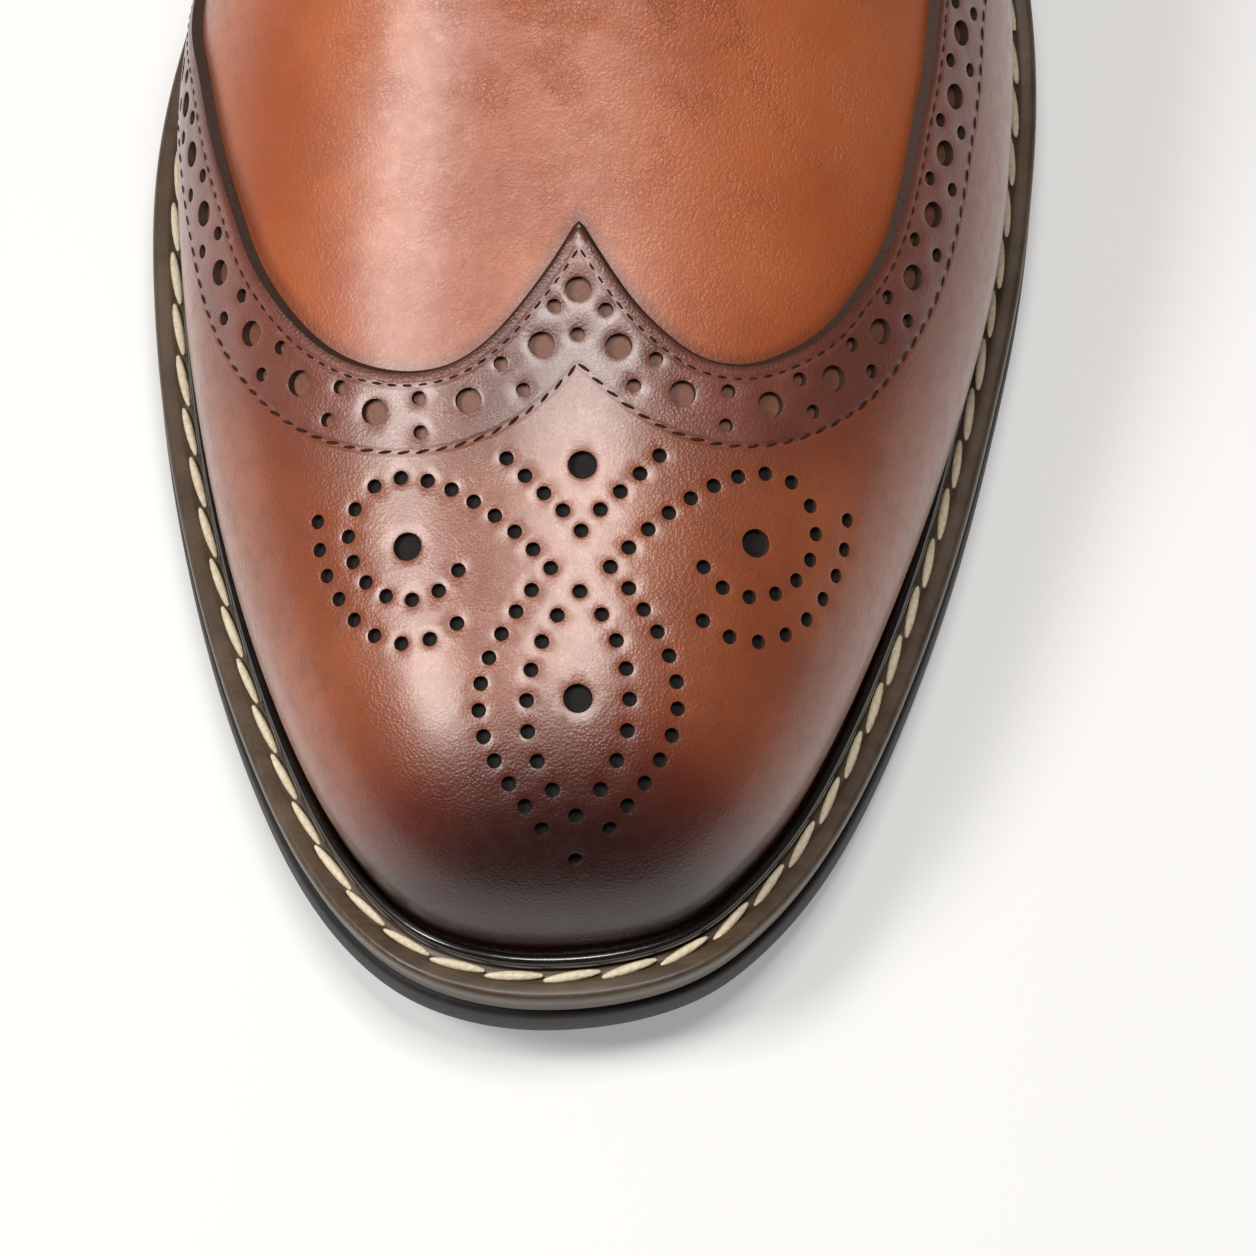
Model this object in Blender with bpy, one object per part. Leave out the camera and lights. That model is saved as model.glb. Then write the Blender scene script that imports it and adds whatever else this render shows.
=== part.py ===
"""Left wingtip oxford in metres: toe towards -Y, heel towards +Y, outer side of the foot towards +X, floor at z = 0."""

from functools import lru_cache
from math import cos, pi, radians, sin

import bmesh
import bpy
import numpy as np
from mathutils import Vector

# Driving sizes
LENGTH = 0.305
BALL_WIDTH = 0.111
INSTEP_RISE = 0.080
TOE_SPRING = 0.0095
COLLAR_BACK = 0.068

# Thickness of each layer of the sole, from the floor up
LIFT = 0.007
HEEL_BLOCK = 0.017
OUTSOLE = 0.0060
MIDSOLE = 0.0032
WELT = 0.0028
INSOLE = 0.0030
HEEL = LIFT + HEEL_BLOCK
STACK = OUTSOLE + MIDSOLE + WELT

# Leather
WALL = 0.0020
OVERLAY = 0.0012
TONGUE = 0.0020
LACE_RADIUS = 0.00125
CROSSING_LIFT = 0.0005
EYELET_RADIUS = 0.0022
EYELET_PAIRS = 5
EYELET_FROM_EDGE = 0.0079
FACING_WIDTH = 0.021
FACING_NARROW = 0.75
THROAT_START = 0.0012
THROAT_SPREAD = 0.0030
TONGUE_ROOT_HALF = 0.013
TONGUE_TOP_HALF = 0.024

# Clearance between pieces that meet, and how far each line lies inside the edge of the sole
GAP = 0.0003
TONGUE_GAP = 0.0011
EDGE_TO_UPPER = 0.0071
EDGE_TO_MIDSOLE = 0.0006
EDGE_TO_RAND = 0.0036
RAND_HEIGHT = 0.0024
EDGE_TO_HEEL = 0.0012
EDGE_TO_LIFT = 0.0010
INSOLE_CLEARANCE = 0.0012
OUTSOLE_BEVEL = 0.0010
WELT_BEVEL = 0.0007
HEEL_MARGIN = 0.8

# Places along the foot, as shares of its length from the toe
TIP = EDGE_TO_UPPER / LENGTH
THROAT = 0.395
FACING_TOP = 0.585
HEEL_TURN = 0.870
BREAST = 0.745
TONGUE_ROOT = 0.360
TONGUE_TOP = 0.645
FACING_START = 0.403
FACING_END = 0.66
FIRST_EYELET = 0.413
LAST_EYELET = 0.566

# Girth places: where overlays start over the feather line, and the line where a side is widest
HEM = 0.02
SWELL_GIRTH = 0.25

# Colours of leather
TAN = (0.32, 0.12, 0.05)
BROWN = (0.16, 0.055, 0.035)
BLACK = (0.01, 0.008, 0.007)

# Samples round the shapes
EDGE_STEPS = 32
HEEL_STEPS = 16
UPPER_ROWS = 10
EYELET_SIDES = 8
LACE_SIDES = 5
DENSE = np.linspace(0, 1, 1601)

# Outline of the sole: place along the foot, then half widths as shares of the ball width
OUTLINE = {
    "place": [0, 0.014, 0.032, 0.068, 0.105, 0.16, 0.215, 0.27, 0.32, 0.365, 0.41, 0.46, 0.52, 0.59,
              0.67, 0.75, 0.82, 0.88, 0.93, 0.97, 0.99, 1],
    "inner": [0.055, 0.204, 0.261, 0.328, 0.373, 0.423, 0.459, 0.484, 0.496, 0.497, 0.481, 0.443, 0.388,
              0.341, 0.316, 0.312, 0.316, 0.311, 0.272, 0.192, 0.102, -0.02],
    "outer": [-0.055, 0.117, 0.178, 0.254, 0.306, 0.365, 0.412, 0.449, 0.477, 0.493, 0.5, 0.492, 0.463,
              0.417, 0.374, 0.353, 0.352, 0.345, 0.305, 0.228, 0.142, 0.02],
}

# Underside of the sole: shares of the toe spring before the ball, then of the heel height behind it
FRONT_RISE = {"place": [0, 0.05, 0.1, 0.16, 0.22, 0.28, 0.39], "rise": [1, 0.66, 0.4, 0.19, 0.06, 0, 0]}
WAIST_RISE = {
    "place": [0.39, 0.46, 0.54, 0.62, 0.7, 0.76, 0.81, 1],
    "rise": [0, 0.06, 0.25, 0.54, 0.83, 0.96, 1, 1],
}

# Ribs of the last. ridge: sideways place as a share of the ball width. rise: height over the feather
# line as a share of the instep rise. bulge: how far the side swells past the feather line, as a share
# of the ball width. swell: height of that widest line as a share of the rise. round: squareness.
RIBS = {
    "place": [TIP, 0.034, 0.05, 0.09, 0.15, 0.22, 0.3, 0.38, 0.46, 0.54, 0.62, 0.7, 0.78, 0.87],
    "ridge": [-0.055, -0.05, -0.044, -0.032, -0.022, -0.018, -0.016, -0.018, -0.02, -0.018, -0.006, 0.007,
              0.014, 0.017],
    "rise": [0, 0.155, 0.24, 0.341, 0.416, 0.491, 0.591, 0.711, 0.851, 0.991, 1.131, 1.24, 1.3, 1.3],
    "inner_bulge": [0, 0.003, 0.006, 0.011, 0.014, 0.015, 0.015, 0.02, 0.034, 0.054, 0.056, 0.038, 0.026,
                    0.02],
    "outer_bulge": [0, 0.002, 0.004, 0.007, 0.009, 0.009, 0.009, 0.011, 0.014, 0.018, 0.027, 0.03, 0.028,
                    0.02],
    "inner_swell": [0.3, 0.3, 0.3, 0.3, 0.3, 0.3, 0.29, 0.28, 0.27, 0.26, 0.25, 0.24, 0.22, 0.2],
    "outer_swell": [0.3, 0.3, 0.29, 0.28, 0.27, 0.26, 0.25, 0.24, 0.23, 0.22, 0.22, 0.22, 0.22, 0.2],
    "inner_round": [2.1, 2.15, 2.2, 2.25, 2.25, 2.2, 2.15, 2.05, 1.95, 1.9, 1.85, 1.8, 1.75, 1.75],
    "outer_round": [2.1, 2.1, 2.1, 2.1, 2.1, 2.05, 2, 1.95, 1.9, 1.85, 1.8, 1.75, 1.75, 1.75],
}

# Curve of the back of the heel: height as a share of the collar's, and how far it leans in from the
# sole's edge past the feather line, as a share of the collar's height
BACK_CURVE = {
    "height": [0, 0.05, 0.2, 0.4, 0.65, 1, 1.5],
    "lean": [0, -0.001, -0.022, -0.034, -0.014, 0.05, 0.15],
}

# Top line of the collar: height over the feather line as a share of the collar's height at the back
TOP_LINE = {
    "place": [0.57, 0.6, 0.64, 0.69, 0.75, 0.81, 0.87, 0.93, 0.97, 1],
    "height": [1.32, 1.12, 0.985, 0.885, 0.825, 0.815, 0.86, 0.94, 0.985, 1],
}

# Edge of the wing: girth place (0 feather line, 1 ridge) and how far back the wing reaches there
WING_EDGE = {
    "girth": [0, 0.1, 0.25, 0.36, 0.43, 0.47, 0.497, 0.517, 0.54, 0.567, 0.605, 0.65, 0.7, 0.755, 0.812,
              0.866, 0.916, 0.955, 1],
    "reach": [0.552, 0.541, 0.505, 0.462, 0.42, 0.385, 0.352, 0.326, 0.302, 0.284, 0.267, 0.252, 0.24,
              0.231, 0.227, 0.229, 0.238, 0.253, 0.283],
}

# Edge of the heel counter: place along the foot and girth place of its top
COUNTER_EDGE = {"place": [0.752, 0.78, 0.82, 0.87, 0.93, 1], "girth": [0.06, 0.19, 0.29, 0.36, 0.43, 0.49]}

SIDES = {"medial": -1, "lateral": 1}


def smooth(places, values, at):
    """A natural cubic spline through a table's rows."""
    x = np.asarray(places, float)
    y = np.asarray(values, float)
    at = np.asarray(at, float)
    step = np.diff(x)
    size = len(x)
    system = np.eye(size)
    right = np.zeros(size)
    for i in range(1, size - 1):
        system[i, i - 1 : i + 2] = step[i - 1], 2 * (step[i - 1] + step[i]), step[i]
        right[i] = 6 * ((y[i + 1] - y[i]) / step[i] - (y[i] - y[i - 1]) / step[i - 1])
    bend = np.linalg.solve(system, right)
    k = np.clip(np.searchsorted(x, at) - 1, 0, size - 2)
    a = (x[k + 1] - at) / step[k]
    b = (at - x[k]) / step[k]
    return a * y[k] + b * y[k + 1] + ((a**3 - a) * bend[k] + (b**3 - b) * bend[k + 1]) * step[k] ** 2 / 6


def held(places, values, at):
    """A cubic through a table's rows that never passes above or below two neighbours."""
    x = np.asarray(places, float)
    y = np.asarray(values, float)
    at = np.asarray(at, float)
    step = np.diff(x)
    slope = np.diff(y) / step
    tangent = np.zeros(len(x))
    for i in range(1, len(x) - 1):
        if slope[i - 1] * slope[i] > 0:
            before = 2 * step[i] + step[i - 1]
            after = step[i] + 2 * step[i - 1]
            tangent[i] = (before + after) / (before / slope[i - 1] + after / slope[i])
    k = np.clip(np.searchsorted(x, at) - 1, 0, len(x) - 2)
    s = (at - x[k]) / step[k]
    start = (2 * s**3 - 3 * s**2 + 1) * y[k] + (s**3 - 2 * s**2 + s) * step[k] * tangent[k]
    return start + (3 * s**2 - 2 * s**3) * y[k + 1] + (s**3 - s**2) * step[k] * tangent[k + 1]


def ease(x):
    """0 to 1 with level ends."""
    x = np.clip(x, 0, 1)
    return x * x * (3 - 2 * x)


def turn(place):
    """A place along the foot as a share of the way round one side, so that both ends come out round."""
    return np.arccos(1 - 2 * np.clip(place, 0, 1)) / pi


def place_of(way):
    return (1 - np.cos(pi * np.asarray(way, float))) / 2


def sole_edge(side, way):
    """Plan points of the sole's edge on one side, from the toe (0) to the back of the heel (1)."""
    column = OUTLINE["inner"] if side < 0 else OUTLINE["outer"]
    x = side * BALL_WIDTH * smooth(turn(OUTLINE["place"]), column, way)
    return np.stack([x, LENGTH * (place_of(way) - 0.5)], -1)


def margin(way):
    """The welt shows less round the heel than round the toe."""
    return 1 - (1 - HEEL_MARGIN) * ease((place_of(way) - 0.5) / 0.3)


def outward(side, way):
    """Unit vectors in plan, square to the sole's edge."""
    way = np.asarray(way, float)
    step = 1e-4
    along = sole_edge(side, np.clip(way + step, 0, 1)) - sole_edge(side, np.clip(way - step, 0, 1))
    along = np.where((way < step)[:, None], [side, 0.0], along)
    along = np.where((way > 1 - step)[:, None], [-side, 0.0], along)
    along = along / np.linalg.norm(along, axis=1, keepdims=True)
    return side * np.stack([along[:, 1], -along[:, 0]], -1)


def inset(side, way, depth, beyond=0.0):
    """The sole's edge moved inwards by depth, which shrinks round the heel, and by a fixed amount beyond."""
    way = np.asarray(way, float)
    return sole_edge(side, way) - outward(side, way) * (depth * margin(way) + beyond)[:, None]


def underside(place):
    """Height of the sole's underside."""
    place = np.asarray(place, float)
    ball = FRONT_RISE["place"][-1]
    front = TOE_SPRING * held(*FRONT_RISE.values(), np.minimum(place, ball))
    back = HEEL * held(*WAIST_RISE.values(), np.maximum(place, ball))
    return np.where(place < ball, front, back)


def feather(place):
    """Height at which the upper starts."""
    return underside(place) + STACK + GAP


@lru_cache(maxsize=None)
def feather_line(side):
    return inset(side, DENSE, EDGE_TO_UPPER)


def feather_x(side, place):
    line = feather_line(side)
    front = len(DENSE) * 7 // 8
    way = np.interp(LENGTH * (place - 0.5), line[:front, 1], DENSE[:front])
    return np.interp(way, DENSE, line[:, 0])


def rib(column, place):
    """A column of RIBS, read on the square root of the distance from the tip so that the toe is round."""
    roots = np.sqrt(np.asarray(RIBS["place"]) - TIP)
    return smooth(roots, RIBS[column], np.sqrt(np.maximum(np.asarray(place) - TIP, 0)))


def section(side, place, girth):
    """Sideways place and height of a rib's point: girth 0 at the feather line, 1 at the ridge."""
    hand = "inner" if side < 0 else "outer"
    low = feather(place)
    rise = rib("rise", place) * INSTEP_RISE
    start = feather_x(side, place)
    wide = start + side * BALL_WIDTH * rib(hand + "_bulge", place)
    swell = low + rise * rib(hand + "_swell", place)
    ridge = BALL_WIDTH * rib("ridge", place)
    power = 2 / rib(hand + "_round", place)
    up = np.clip(girth / SWELL_GIRTH, 0, 1)
    over = np.clip((girth - SWELL_GIRTH) / (1 - SWELL_GIRTH), 0, 1) * pi / 2
    below = girth < SWELL_GIRTH
    x = np.where(
        below,
        start + (wide - start) * (1 - np.cos(pi * up)) / 2,
        ridge + (wide - ridge) * np.maximum(np.cos(over), 0) ** power,
    )
    z = np.where(below, low + (swell - low) * up, swell + (low + rise - swell) * np.sin(over) ** power)
    return x, z


def last_point(side, place, girth):
    """The upper's outer surface. Behind HEEL_TURN the ribs fan round the heel."""
    place = np.asarray(place, float)
    girth = np.asarray(girth, float)
    x, z = section(side, np.minimum(place, HEEL_TURN), girth)
    flat = np.stack([x, LENGTH * (place - 0.5), z], -1)
    way = turn(np.maximum(place, HEEL_TURN)).ravel()
    start = turn(HEEL_TURN)
    side_depth = side * (sole_edge(side, np.array([start]))[0, 0] - x).ravel()
    height = (z - feather(1.0)).ravel() / COLLAR_BACK
    lean = EDGE_TO_UPPER * HEEL_MARGIN + COLLAR_BACK * smooth(*BACK_CURVE.values(), height)
    round_share = ease((way - start) / (1 - start))
    depth = side_depth * (1 - round_share) + lean * round_share
    aim = outward(side, way)
    straight = ease((way - start) / 0.06)[:, None]
    aim = np.array([side, 0.0]) * (1 - straight) + aim * straight
    aim = aim / np.linalg.norm(aim, axis=1, keepdims=True)
    plan = (sole_edge(side, way) - aim * depth[:, None]).reshape(place.shape + (2,))
    fan = np.concatenate([plan, z[..., None]], -1)
    return np.where((place > HEEL_TURN)[..., None], fan, flat)


def skin(side, place, girth, out=0.0):
    """A point that lies out from the upper's outer surface."""
    place, girth = np.broadcast_arrays(np.asarray(place, float), np.asarray(girth, float))
    root = np.sqrt(np.maximum(place - TIP, 0))
    step = 2e-4
    ahead = np.minimum(TIP + (root + step) ** 2, 1)
    behind = TIP + np.maximum(root - step, step * 0.1) ** 2
    above = np.minimum(girth + step, 1)
    under = np.maximum(girth - step, 0)
    along = last_point(side, ahead, girth) - last_point(side, behind, girth)
    across = last_point(side, place, above) - last_point(side, place, under)
    normal = side * np.cross(along, across)
    normal[..., 0] = np.where(girth > 0.9999, 0, normal[..., 0])
    normal[..., 0] = np.where(place > 0.9999, 0, normal[..., 0])
    toe = (place <= TIP + 1e-9)[..., None]
    normal = np.where(toe, [0.0, -1.0, 0.0], normal)
    pitch = (feather(place + step) - feather(place - step)) / (2 * step * LENGTH)
    lowest = (place <= TIP + 1e-9) | (girth < 0.0001)
    normal[..., 2] = np.where(lowest, pitch * normal[..., 1], normal[..., 2])
    normal = normal / np.linalg.norm(normal, axis=-1, keepdims=True)
    return last_point(side, place, girth) + normal * np.asarray(out)[..., None]


def girth_at_height(side, place, height):
    """Girth place at which a rib reaches a height."""
    girths = np.linspace(SWELL_GIRTH, 1, 400)
    z = section(side, np.full(400, min(place, HEEL_TURN)), girths)[1]
    return float(np.interp(height, z, girths))


def girth_at_distance(side, place, distance):
    """Girth place that lies a distance sideways from the ridge."""
    girths = np.linspace(1, SWELL_GIRTH, 400)
    x = section(side, np.full(400, place), girths)[0]
    return float(np.interp(distance, side * (x - x[0]), girths))


def throat_gap(place):
    """Half of the opening between the facings, which widens upwards."""
    share = np.clip((place - THROAT) / (FACING_TOP - THROAT), 0, 1)
    return THROAT_START * ease(share / 0.08) + THROAT_SPREAD * share


def eyelet_reach(place):
    """Distance sideways from the ridge to an eyelet's centre."""
    return throat_gap(place) + EYELET_FROM_EDGE


def top_girth(side, place):
    """Girth place of the upper's top edge: the ridge, then the throat's edge, then the collar."""
    if place <= THROAT:
        return 1.0
    if place >= HEEL_TURN:
        height = feather(1.0) + COLLAR_BACK * smooth(*TOP_LINE.values(), place)
        return girth_at_height(side, HEEL_TURN, height)
    throat = girth_at_distance(side, place, throat_gap(place))
    if place < TOP_LINE["place"][0]:
        return throat
    height = feather(1.0) + COLLAR_BACK * smooth(*TOP_LINE.values(), place)
    return min(throat, girth_at_height(side, place, height))


class Shell:
    """Collects points and faces of one closed solid."""

    def __init__(self):
        self.points = []
        self.faces = []

    def add(self, points):
        """Adds an array of points and returns their numbers in the same layout."""
        points = np.asarray(points, float)
        first = len(self.points)
        self.points.extend(points.reshape(-1, 3).tolist())
        return np.arange(first, len(self.points)).reshape(points.shape[:-1])

    def sheet(self, grid, back=False):
        """Triangles over a layout of point numbers, its faces towards the side from which rows run down
        and columns run right to left, or away from it. Front and back are split along the same
        diagonals, so that two sheets with the same layout stay apart."""
        for a, b in zip(grid[:-1], grid[1:]):
            for p, q, r, s in zip(a[:-1], a[1:], b[1:], b[:-1]):
                halves = [(p, q, r), (p, r, s)]
                self.faces.extend(half[::-1] if back else half for half in halves)

    def build(self, name, colour, roughness):
        mesh = bpy.data.meshes.new(name)
        work = bmesh.new()
        made = [work.verts.new(Vector(point)) for point in self.points]
        for face in self.faces:
            corners = [made[i] for i in face]
            work.faces.new(corners)
        bmesh.ops.remove_doubles(work, verts=work.verts, dist=1e-6)
        bmesh.ops.dissolve_degenerate(work, dist=1e-7, edges=work.edges)
        bmesh.ops.recalc_face_normals(work, faces=work.faces)
        if work.calc_volume(signed=True) < 0:
            bmesh.ops.reverse_faces(work, faces=work.faces)
        loose = [vert for vert in work.verts if not vert.link_faces]
        bmesh.ops.delete(work, geom=loose, context="VERTS")
        work.to_mesh(mesh)
        work.free()
        return finish(name, mesh, colour, roughness)


def finish(name, mesh, colour, roughness):
    """An object with its own material, shaded smooth with sharp edges kept."""
    thing = bpy.data.objects.new(name, mesh)
    bpy.context.scene.collection.objects.link(thing)
    material = bpy.data.materials.new(name)
    material.use_nodes = True
    shader = material.node_tree.nodes["Principled BSDF"]
    shader.inputs["Base Color"].default_value = (*colour, 1)
    shader.inputs["Roughness"].default_value = roughness
    mesh.materials.append(material)
    mesh.shade_smooth()
    mesh.set_sharp_from_angle(angle=radians(40))
    return thing


def edge_ways(start=0.0, steps=EDGE_STEPS):
    """Samples along the sole's edge, spread half by length and half by turn."""
    edge = sole_edge(1, DENSE)
    run = np.concatenate([[0], np.cumsum(np.linalg.norm(np.diff(edge, axis=0), axis=1))])
    even = np.interp(np.linspace(0, 1, 201), (DENSE + run / run[-1]) / 2, DENSE)
    first = np.interp(start, even, np.linspace(0, 1, 201))
    return np.interp(np.linspace(first, 1, steps + 1), np.linspace(0, 1, 201), even)


def above_underside(height):
    return lambda place: underside(place) + height


def level(height):
    return lambda place: np.full(len(place), height)


def slab(name, profile, colour, roughness, ways):
    """A layer of the sole. profile: rows of (inset, height along the foot) up its edge."""
    shell = Shell()
    rows = []
    for depth, height in profile:
        row = []
        for side in (-1, 1):
            plan = inset(side, ways, depth)
            z = height(plan[:, 1] / LENGTH + 0.5)
            row.append(shell.add(np.column_stack([plan, z])))
        rows.append(row)
    for (inner_a, outer_a), (inner_b, outer_b) in zip(rows[:-1], rows[1:]):
        shell.sheet(np.stack([inner_a, inner_b]))
        shell.sheet(np.stack([outer_b, outer_a]))
    for inner, outer in (rows[0], rows[-1]):
        shell.sheet(np.stack([inner, outer]))
    if ways[0] > 0:
        shell.faces.append(tuple([row[0][0] for row in rows] + [row[1][0] for row in reversed(rows)]))
    return shell.build(name, colour, roughness)


def make_outsole():
    profile = [
        (OUTSOLE_BEVEL, above_underside(0)),
        (0, above_underside(OUTSOLE_BEVEL)),
        (0, above_underside(OUTSOLE - GAP)),
    ]
    return slab("outsole", profile, (0.04, 0.038, 0.04), 0.6, edge_ways())


def make_midsole():
    profile = [
        (EDGE_TO_MIDSOLE, above_underside(OUTSOLE)),
        (EDGE_TO_MIDSOLE, above_underside(OUTSOLE + MIDSOLE - GAP)),
    ]
    return slab("midsole", profile, (0.09, 0.062, 0.042), 0.5, edge_ways())


def make_welt():
    bottom = OUTSOLE + MIDSOLE
    profile = [
        (WELT_BEVEL, above_underside(bottom)),
        (0, above_underside(bottom + WELT_BEVEL)),
        (0, above_underside(bottom + WELT - WELT_BEVEL)),
        (WELT_BEVEL, above_underside(bottom + WELT)),
    ]
    return slab("welt", profile, (0.075, 0.052, 0.034), 0.45, edge_ways())


def make_insole():
    depth = EDGE_TO_UPPER + WALL + INSOLE_CLEARANCE
    low = STACK + GAP
    profile = [(depth, above_underside(low)), (depth, above_underside(low + INSOLE))]
    return slab("insole", profile, (0.35, 0.2, 0.1), 0.6, edge_ways())


def make_heel():
    """The stacked block under the seat and the rubber piece that it stands on."""
    ways = edge_ways(float(turn(BREAST)), HEEL_STEPS)
    block = [(EDGE_TO_HEEL, level(LIFT)), (EDGE_TO_LIFT, above_underside(-GAP))]
    lift = [(EDGE_TO_HEEL, level(0)), (EDGE_TO_HEEL, level(LIFT - GAP))]
    slab("heel_block", block, (0.07, 0.045, 0.03), 0.45, ways)
    slab("heel_lift", lift, (0.03, 0.028, 0.03), 0.6, ways)


def make_rand():
    """The bead that lies on the welt against the upper."""
    shell = Shell()
    way = edge_ways()
    loop = []
    for angle in np.linspace(0, 2 * pi, 7)[:-1] + pi / 6:
        share = (1 - cos(angle)) / 2
        depth = EDGE_TO_RAND * (1 - share) + EDGE_TO_UPPER * share
        beyond = -(OVERLAY + 3 * GAP) * share
        height = STACK + GAP + RAND_HEIGHT * (1 + sin(angle)) / 2
        ring = []
        for side in (-1, 1):
            plan = inset(side, way, depth, beyond)
            z = underside(plan[:, 1] / LENGTH + 0.5) + height
            points = np.column_stack([plan, z])
            ring.append(points if side < 0 else points[::-1])
        loop.append(shell.add(np.concatenate(ring)))
    loop.append(loop[0])
    shell.sheet(np.stack(loop))
    return shell.build("rand", BLACK, 0.25)


def upper_places():
    """Places of the upper's ribs: close at the toe, the throat and the turn of the heel."""
    toe = TIP + (THROAT - TIP) * np.linspace(0, 1, 15) ** 1.7
    throat = np.linspace(THROAT, TOP_LINE["place"][0], 8)[1:]
    collar = np.array([0.578, 0.586, 0.594, 0.603, 0.615, 0.632, 0.66, 0.7, 0.75, 0.81, HEEL_TURN])
    heel = place_of(np.linspace(turn(HEEL_TURN), 1, 8))[1:]
    return np.concatenate([toe, throat, collar, heel])


def upper_form(name, low, high, colour, roughness):
    """The whole upper between two distances from its outer surface, open underneath, at the throat and
    at the collar. Every piece that follows the upper is cut from such a form, so their facets match."""
    shell = Shell()
    places = upper_places()
    rows = np.linspace(0, 1, UPPER_ROWS)
    split = int(np.searchsorted(places, THROAT + 1e-6)) - 1
    for side in (-1, 1):
        tops = np.array([top_girth(side, place) for place in places])
        girth = tops[:, None] * rows[None, :]
        place = np.repeat(places[:, None], len(rows), 1)
        outer, inner = [shell.add(skin(side, place, girth, out)) for out in (high, low)]
        shell.sheet(outer)
        shell.sheet(inner, back=True)
        shell.sheet(np.stack([outer[:, 0], inner[:, 0]]))
        shell.sheet(np.stack([outer[split:, -1], inner[split:, -1]]))
    return shell.build(name, colour, roughness)


def make_upper(eyelet_cutters):
    upper = upper_form("upper", -WALL, 0.0, TAN, 0.4)
    cut(upper, eyelet_cutters)
    return upper


def patch(name, lines, low, high, colour=BROWN, roughness=0.5):
    """A solid between two distances from the upper. lines: rows of (side, place, girth) across it."""
    shell = Shell()
    layers = []
    for out in (low, high):
        grid = [[over(side, place, girth, out) for side, place, girth in line] for line in lines]
        layers.append(shell.add(np.array(grid)))
    under, top = layers
    shell.sheet(top)
    shell.sheet(under, back=True)
    for edge in (lambda g: g[0], lambda g: g[-1], lambda g: g[:, 0], lambda g: g[:, -1]):
        shell.sheet(np.stack([edge(under), edge(top)]))
    return shell.build(name, colour, roughness)


def overlay(name, lines, colour, roughness):
    """Leather on the upper: the form over the upper, kept only inside the outline that lines fill."""
    piece = upper_form(name, GAP, GAP + OVERLAY, colour, roughness)
    outline = patch(name + "_outline", lines, -OVERLAY, 3 * OVERLAY)
    as_cutter(outline, name + "_outline")
    cut(piece, [outline], "INTERSECT")
    return piece


def over(side, place, girth, out):
    return skin(side, np.array(place), np.array(girth), np.array(out))


def make_wingtip():
    """The toe overlay: lines of equal girth run from before the tip of the toe to the wing's edge."""
    girths = np.array(WING_EDGE["girth"])
    girths[0] = HEM
    lines = []
    shares = np.linspace(0, 1, 11) ** 1.5
    for side, order in ((-1, girths), (1, girths[::-1][1:])):
        for girth in order:
            reach = float(held(*WING_EDGE.values(), girth))
            lines.append([(side, TIP + (reach - TIP) * share, girth) for share in shares])
    return overlay("wingtip", lines, BROWN, 0.3)


def facing_girths(side, place):
    """Girth places of a facing's two long edges: past the throat's edge, and its width further down.
    Both run on over the collar, whose top line cuts the facing off."""
    edge = girth_at_distance(side, place, throat_gap(place))
    girths = np.linspace(edge, SWELL_GIRTH, 200)
    x, z = section(side, np.full(200, place), girths)
    run = np.concatenate([[0], np.cumsum(np.hypot(np.diff(x), np.diff(z)))])
    share = (place - FACING_START) / (FACING_TOP - FACING_START)
    width = FACING_WIDTH * (FACING_NARROW + (1 - FACING_NARROW) * ease(2 * share))
    return min(edge + HEM, 1), float(np.interp(width, run, girths))


def make_facing(name, side, eyelet_cutters):
    places = np.linspace(FACING_START, FACING_END, 12)
    lines = []
    for place in places:
        near, far = facing_girths(side, place)
        lines.append([(side, place, near + (far - near) * share) for share in np.linspace(0, 1, 5)])
    facing = overlay(name, lines, BROWN, 0.35)
    cut(facing, eyelet_cutters)
    return facing


def make_counter():
    """The overlay round the back of the heel."""
    places = np.concatenate([np.linspace(COUNTER_EDGE["place"][0], HEEL_TURN, 6)[:-1],
                             place_of(np.linspace(turn(HEEL_TURN), 1, 8))])
    lines = []
    for side, order in ((-1, places), (1, places[::-1][1:])):
        for place in order:
            top = float(held(*COUNTER_EDGE.values(), place))
            lines.append([(side, place, HEM + (top - HEM) * share) for share in np.linspace(0, 1, 6)])
    return overlay("heel_counter", lines, BROWN, 0.35)


def make_tongue():
    """A sheet that follows the ridge under the facings."""
    lines = []
    for place in np.linspace(TONGUE_ROOT, TONGUE_TOP, 12):
        share = (place - TONGUE_ROOT) / (TONGUE_TOP - TONGUE_ROOT)
        half = TONGUE_ROOT_HALF + (TONGUE_TOP_HALF - TONGUE_ROOT_HALF) * ease(share / 0.8)
        line = []
        for side, spread in ((-1, (1, 0.66, 0.33)), (1, (0, 0.33, 0.66, 1))):
            for part in spread:
                line.append((side, place, girth_at_distance(side, place, half * part)))
        lines.append(line)
    top = -WALL - TONGUE_GAP
    return patch("tongue", lines, top - TONGUE, top, BROWN, 0.5)


def eyelets():
    """(side, place, girth) of each eyelet, bottom pair first."""
    found = []
    for pair in range(EYELET_PAIRS):
        place = FIRST_EYELET + (LAST_EYELET - FIRST_EYELET) * pair / (EYELET_PAIRS - 1)
        for side in (-1, 1):
            found.append((side, place, girth_at_distance(side, place, eyelet_reach(place))))
    return found


def make_eyelet_cutters():
    """A closed peg through the facing and the upper at each eyelet."""
    pegs = []
    for side, place, girth in eyelets():
        top = over(side, place, girth, 2 * EYELET_RADIUS)
        bottom = over(side, place, girth, -2 * WALL)
        peg = rod("eyelet_cutter", [bottom, top], EYELET_RADIUS, EYELET_SIDES)
        as_cutter(peg, "eyelet_cutter")
        pegs.append((side, peg))
    return pegs


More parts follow.
